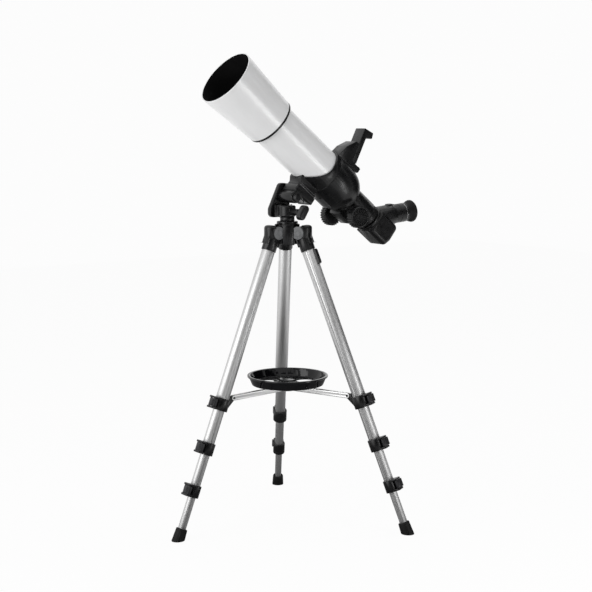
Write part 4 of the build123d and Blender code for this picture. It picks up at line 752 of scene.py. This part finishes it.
# %% Tab on one leg
TAB_LEG, TAB_DOWN, TAB_OUT = 2, 0.046, 0.0149
TAB_RISE, TAB_WIDTH, TAB_LENGTH, TAB_CURVE = 0.0045, 0.009, 0.026, 0.003
LEVEL_WITHIN = 1e-6
leg_out, leg_side, leg_up = leg_ways(TAB_LEG)
hinge = Vector(joints[f"leg{TAB_LEG}_fold"]["pos_m"])
mesh = bmesh.new()
add_box(mesh, (TAB_RISE, TAB_WIDTH, TAB_LENGTH), Matrix())
ends = [
    edge for edge in mesh.edges
    if min(vert.co.x for vert in edge.verts) > 0
    and abs(edge.verts[0].co.z - edge.verts[1].co.z) < LEVEL_WITHIN
]
bmesh.ops.bevel(
    mesh, geom=ends, offset=TAB_CURVE, affect="EDGES", segments=4, profile=0.5, material=-1
)
tab_place = placed(hinge + leg_out * TAB_OUT - leg_up * TAB_DOWN, leg_out, leg_side, leg_up)
bmesh.ops.transform(mesh, matrix=tab_place, verts=mesh.verts)
tab = show("leg_tab", mesh, body_of_node[f"leg{TAB_LEG}_tube1"], "black_plastic", black_plastic)
round_edges(tab, 0.0005)
print("tab faces", len(tab.data.polygons))

# %% Dark strips that paint the shade in the spreader channels
HUB_RADIUS, HUB_HEIGHT = 0.018, 0.22559
STRIP_SETBACK, STRIP_WIDTH, STRIP_DEPTH, STRIP_LIFT = 0.013, 0.0056, 0.0030, 0.0008
for leg in range(1, LEG_COUNT + 1):
    lug = Vector(joints[f"spreader_arm{leg}_fold"]["pos_m"])
    spoke = Vector((lug.x, lug.y, 0)).normalized()
    start = spoke * HUB_RADIUS + Vector((0, 0, HUB_HEIGHT))
    along = (lug - start).normalized()
    sideways = along.cross(plumb).normalized()
    up_way = sideways.cross(along)
    mesh = bmesh.new()
    length = (lug - start).length - 2 * STRIP_SETBACK
    middle = (start + lug) / 2 + up_way * STRIP_LIFT
    strip_place = placed(middle, along, up_way.cross(along), up_way)
    add_box(mesh, (length, STRIP_WIDTH, STRIP_DEPTH), strip_place)
    arm = f"spreader_arm{leg}"
    # Painted shade: a dark strip where the inside of the channel is in shadow.
    strip = show(f"{arm}_painted_shade_strip", mesh, arm, "black_plastic", black_plastic)
    round_edges(strip, 0.0003, 1)
print("channel strips", LEG_COUNT)

# %% [markdown]
# ## Floor, light and background
# The object stands in a plain white studio. The world is white to the camera and to mirrors,
# and a softer grey to everything else. The floor does the same, but keeps a trace of shadow.
# Broad area lamps stand to the left, right and above, and a low strip on the right draws the
# long highlight along the tube and the housing. Dark cards behind the camera and to its right,
# and a grey one on the floor, give the metal and the gloss something to reflect.

# %% Floor
FLOOR_WHITE, FLOOR_SIZE, FLOOR_DROP = 0.95, 8.0, 0.0003
FLOOR_TONE, FLOOR_ROUGH = (0.95, 0.95, 0.95, 1), 0.9
WHITE = (1, 1, 1, 1)


def seen_directly(nodes, links):
    """One for rays from the camera, from mirrors and through glass, and nought for the rest."""
    path = nodes.new("ShaderNodeLightPath")
    total = path.outputs["Is Camera Ray"]
    for other in ("Is Glossy Ray", "Is Transmission Ray"):
        either = nodes.new("ShaderNodeMath")
        either.operation = "MAXIMUM"
        links.new(total, either.inputs[0])
        links.new(path.outputs[other], either.inputs[1])
        total = either.outputs[0]
    return total


bpy.ops.mesh.primitive_plane_add(size=FLOOR_SIZE, location=(0, 0, -FLOOR_DROP))
floor = bpy.context.object
floor.name = "studio_floor"
material, nodes, links, shader = start_finish("studio_floor")
shader.inputs["Base Color"].default_value = FLOOR_TONE
shader.inputs["Roughness"].default_value = FLOOR_ROUGH
shader.inputs["Specular IOR Level"].default_value = 0.0
glow = nodes.new("ShaderNodeEmission")
blend = nodes.new("ShaderNodeMixShader")
share = nodes.new("ShaderNodeMath")
share.operation = "MULTIPLY"
share.inputs[1].default_value = FLOOR_WHITE
links.new(seen_directly(nodes, links), share.inputs[0])
links.new(share.outputs[0], blend.inputs["Fac"])
links.new(shader.outputs["BSDF"], blend.inputs[1])
links.new(glow.outputs["Emission"], blend.inputs[2])
links.new(blend.outputs["Shader"], nodes["Material Output"].inputs["Surface"])
floor.data.materials.append(material)
print("floor ready")

# %% World
SEEN_WHITE, AMBIENT = 0.975, 0.35
world = bpy.data.worlds.new("studio")
scene.world = world
world.use_nodes = True
nodes, links = world.node_tree.nodes, world.node_tree.links
seen = nodes["Background"]
seen.inputs["Color"].default_value = WHITE
seen.inputs["Strength"].default_value = SEEN_WHITE
ambient = nodes.new("ShaderNodeBackground")
ambient.inputs["Color"].default_value = WHITE
ambient.inputs["Strength"].default_value = AMBIENT
blend = nodes.new("ShaderNodeMixShader")
links.new(seen_directly(nodes, links), blend.inputs["Fac"])
links.new(ambient.outputs["Background"], blend.inputs[1])
links.new(seen.outputs["Background"], blend.inputs[2])
links.new(blend.outputs["Shader"], nodes["World Output"].inputs["Surface"])
print("world ready")

# %% Lamps
TARGET = Vector((0, 0, 0.45))


def lamp(name, right, near, up, size, power):
    """Area lamp placed from the camera's point of view and aimed at the object."""
    data = bpy.data.lights.new(name, "AREA")
    data.shape = "RECTANGLE"
    data.size, data.size_y = size
    data.energy = power
    item = bpy.data.objects.new(name, data)
    item.location = TARGET + level_right * right - level_ahead * near + Vector((0, 0, up))
    item.rotation_euler = (TARGET - item.location).to_track_quat("-Z", "Y").to_euler()
    item.visible_camera = False
    scene.collection.objects.link(item)


lamp("left_softbox", -1.6, 1.2, 0.35, (1.4, 2.2), 27)
lamp("right_softbox", 2.0, -0.6, 0.4, (0.5, 1.8), 5)
lamp("top_softbox", 0.2, -0.3, 2.0, (1.6, 1.6), 7)
lamp("low_painted_shade_strip", 0.83, 0.56, -0.17, (0.18, 0.45), 2.0)
print("lamps", len(bpy.data.lights))


# %% Cards
def hang_card(name, spot, size, material):
    """Card of a size in a place, hidden from the camera and from shadows."""
    mesh = bmesh.new()
    place = spot @ Matrix.Diagonal((*size, 1, 1))
    bmesh.ops.create_grid(mesh, x_segments=1, y_segments=1, size=0.5, matrix=place)
    data = bpy.data.meshes.new(name)
    mesh.to_mesh(data)
    mesh.free()
    data.materials.append(material)
    card = bpy.data.objects.new(name, data)
    scene.collection.objects.link(card)
    card.visible_camera = card.visible_diffuse = card.visible_shadow = False


def dark_card(name, right, near, up, size):
    """Dark upright card that only mirrors and gloss see, set from the camera's point of view."""
    middle = TARGET + level_right * right - level_ahead * near + Vector((0, 0, up))
    facing = (TARGET - middle).to_track_quat("Z", "Y").to_matrix().to_4x4()
    hang_card(name, Matrix.Translation(middle) @ facing, size, flat_black)


CARD_LIFT, CARD_BEHIND = 0.001, 0.1
card_grey = moulded("grey_card", (0.26, 0.26, 0.26), (0.30, 0.30, 0.30), 0.85, 0.05, None, 0.0)
dark_card("right_card", 1.6, 0.9, 0.1, (1.6, 2.4))
dark_card("camera_card", 0.1, 2.8, 0.5, (2.6, 2.6))
floor_middle = Matrix.Translation(plumb * CARD_LIFT + level_ahead * CARD_BEHIND)
floor_spot = floor_middle @ Matrix.Rotation(VIEW_AZIMUTH, 4, "Z")
hang_card("floor_card", floor_spot, (0.8, 1.6), card_grey)
dark_card("far_right_card", 1.7, -0.8, 0.2, (1.7, 2.4))
print("cards ready")
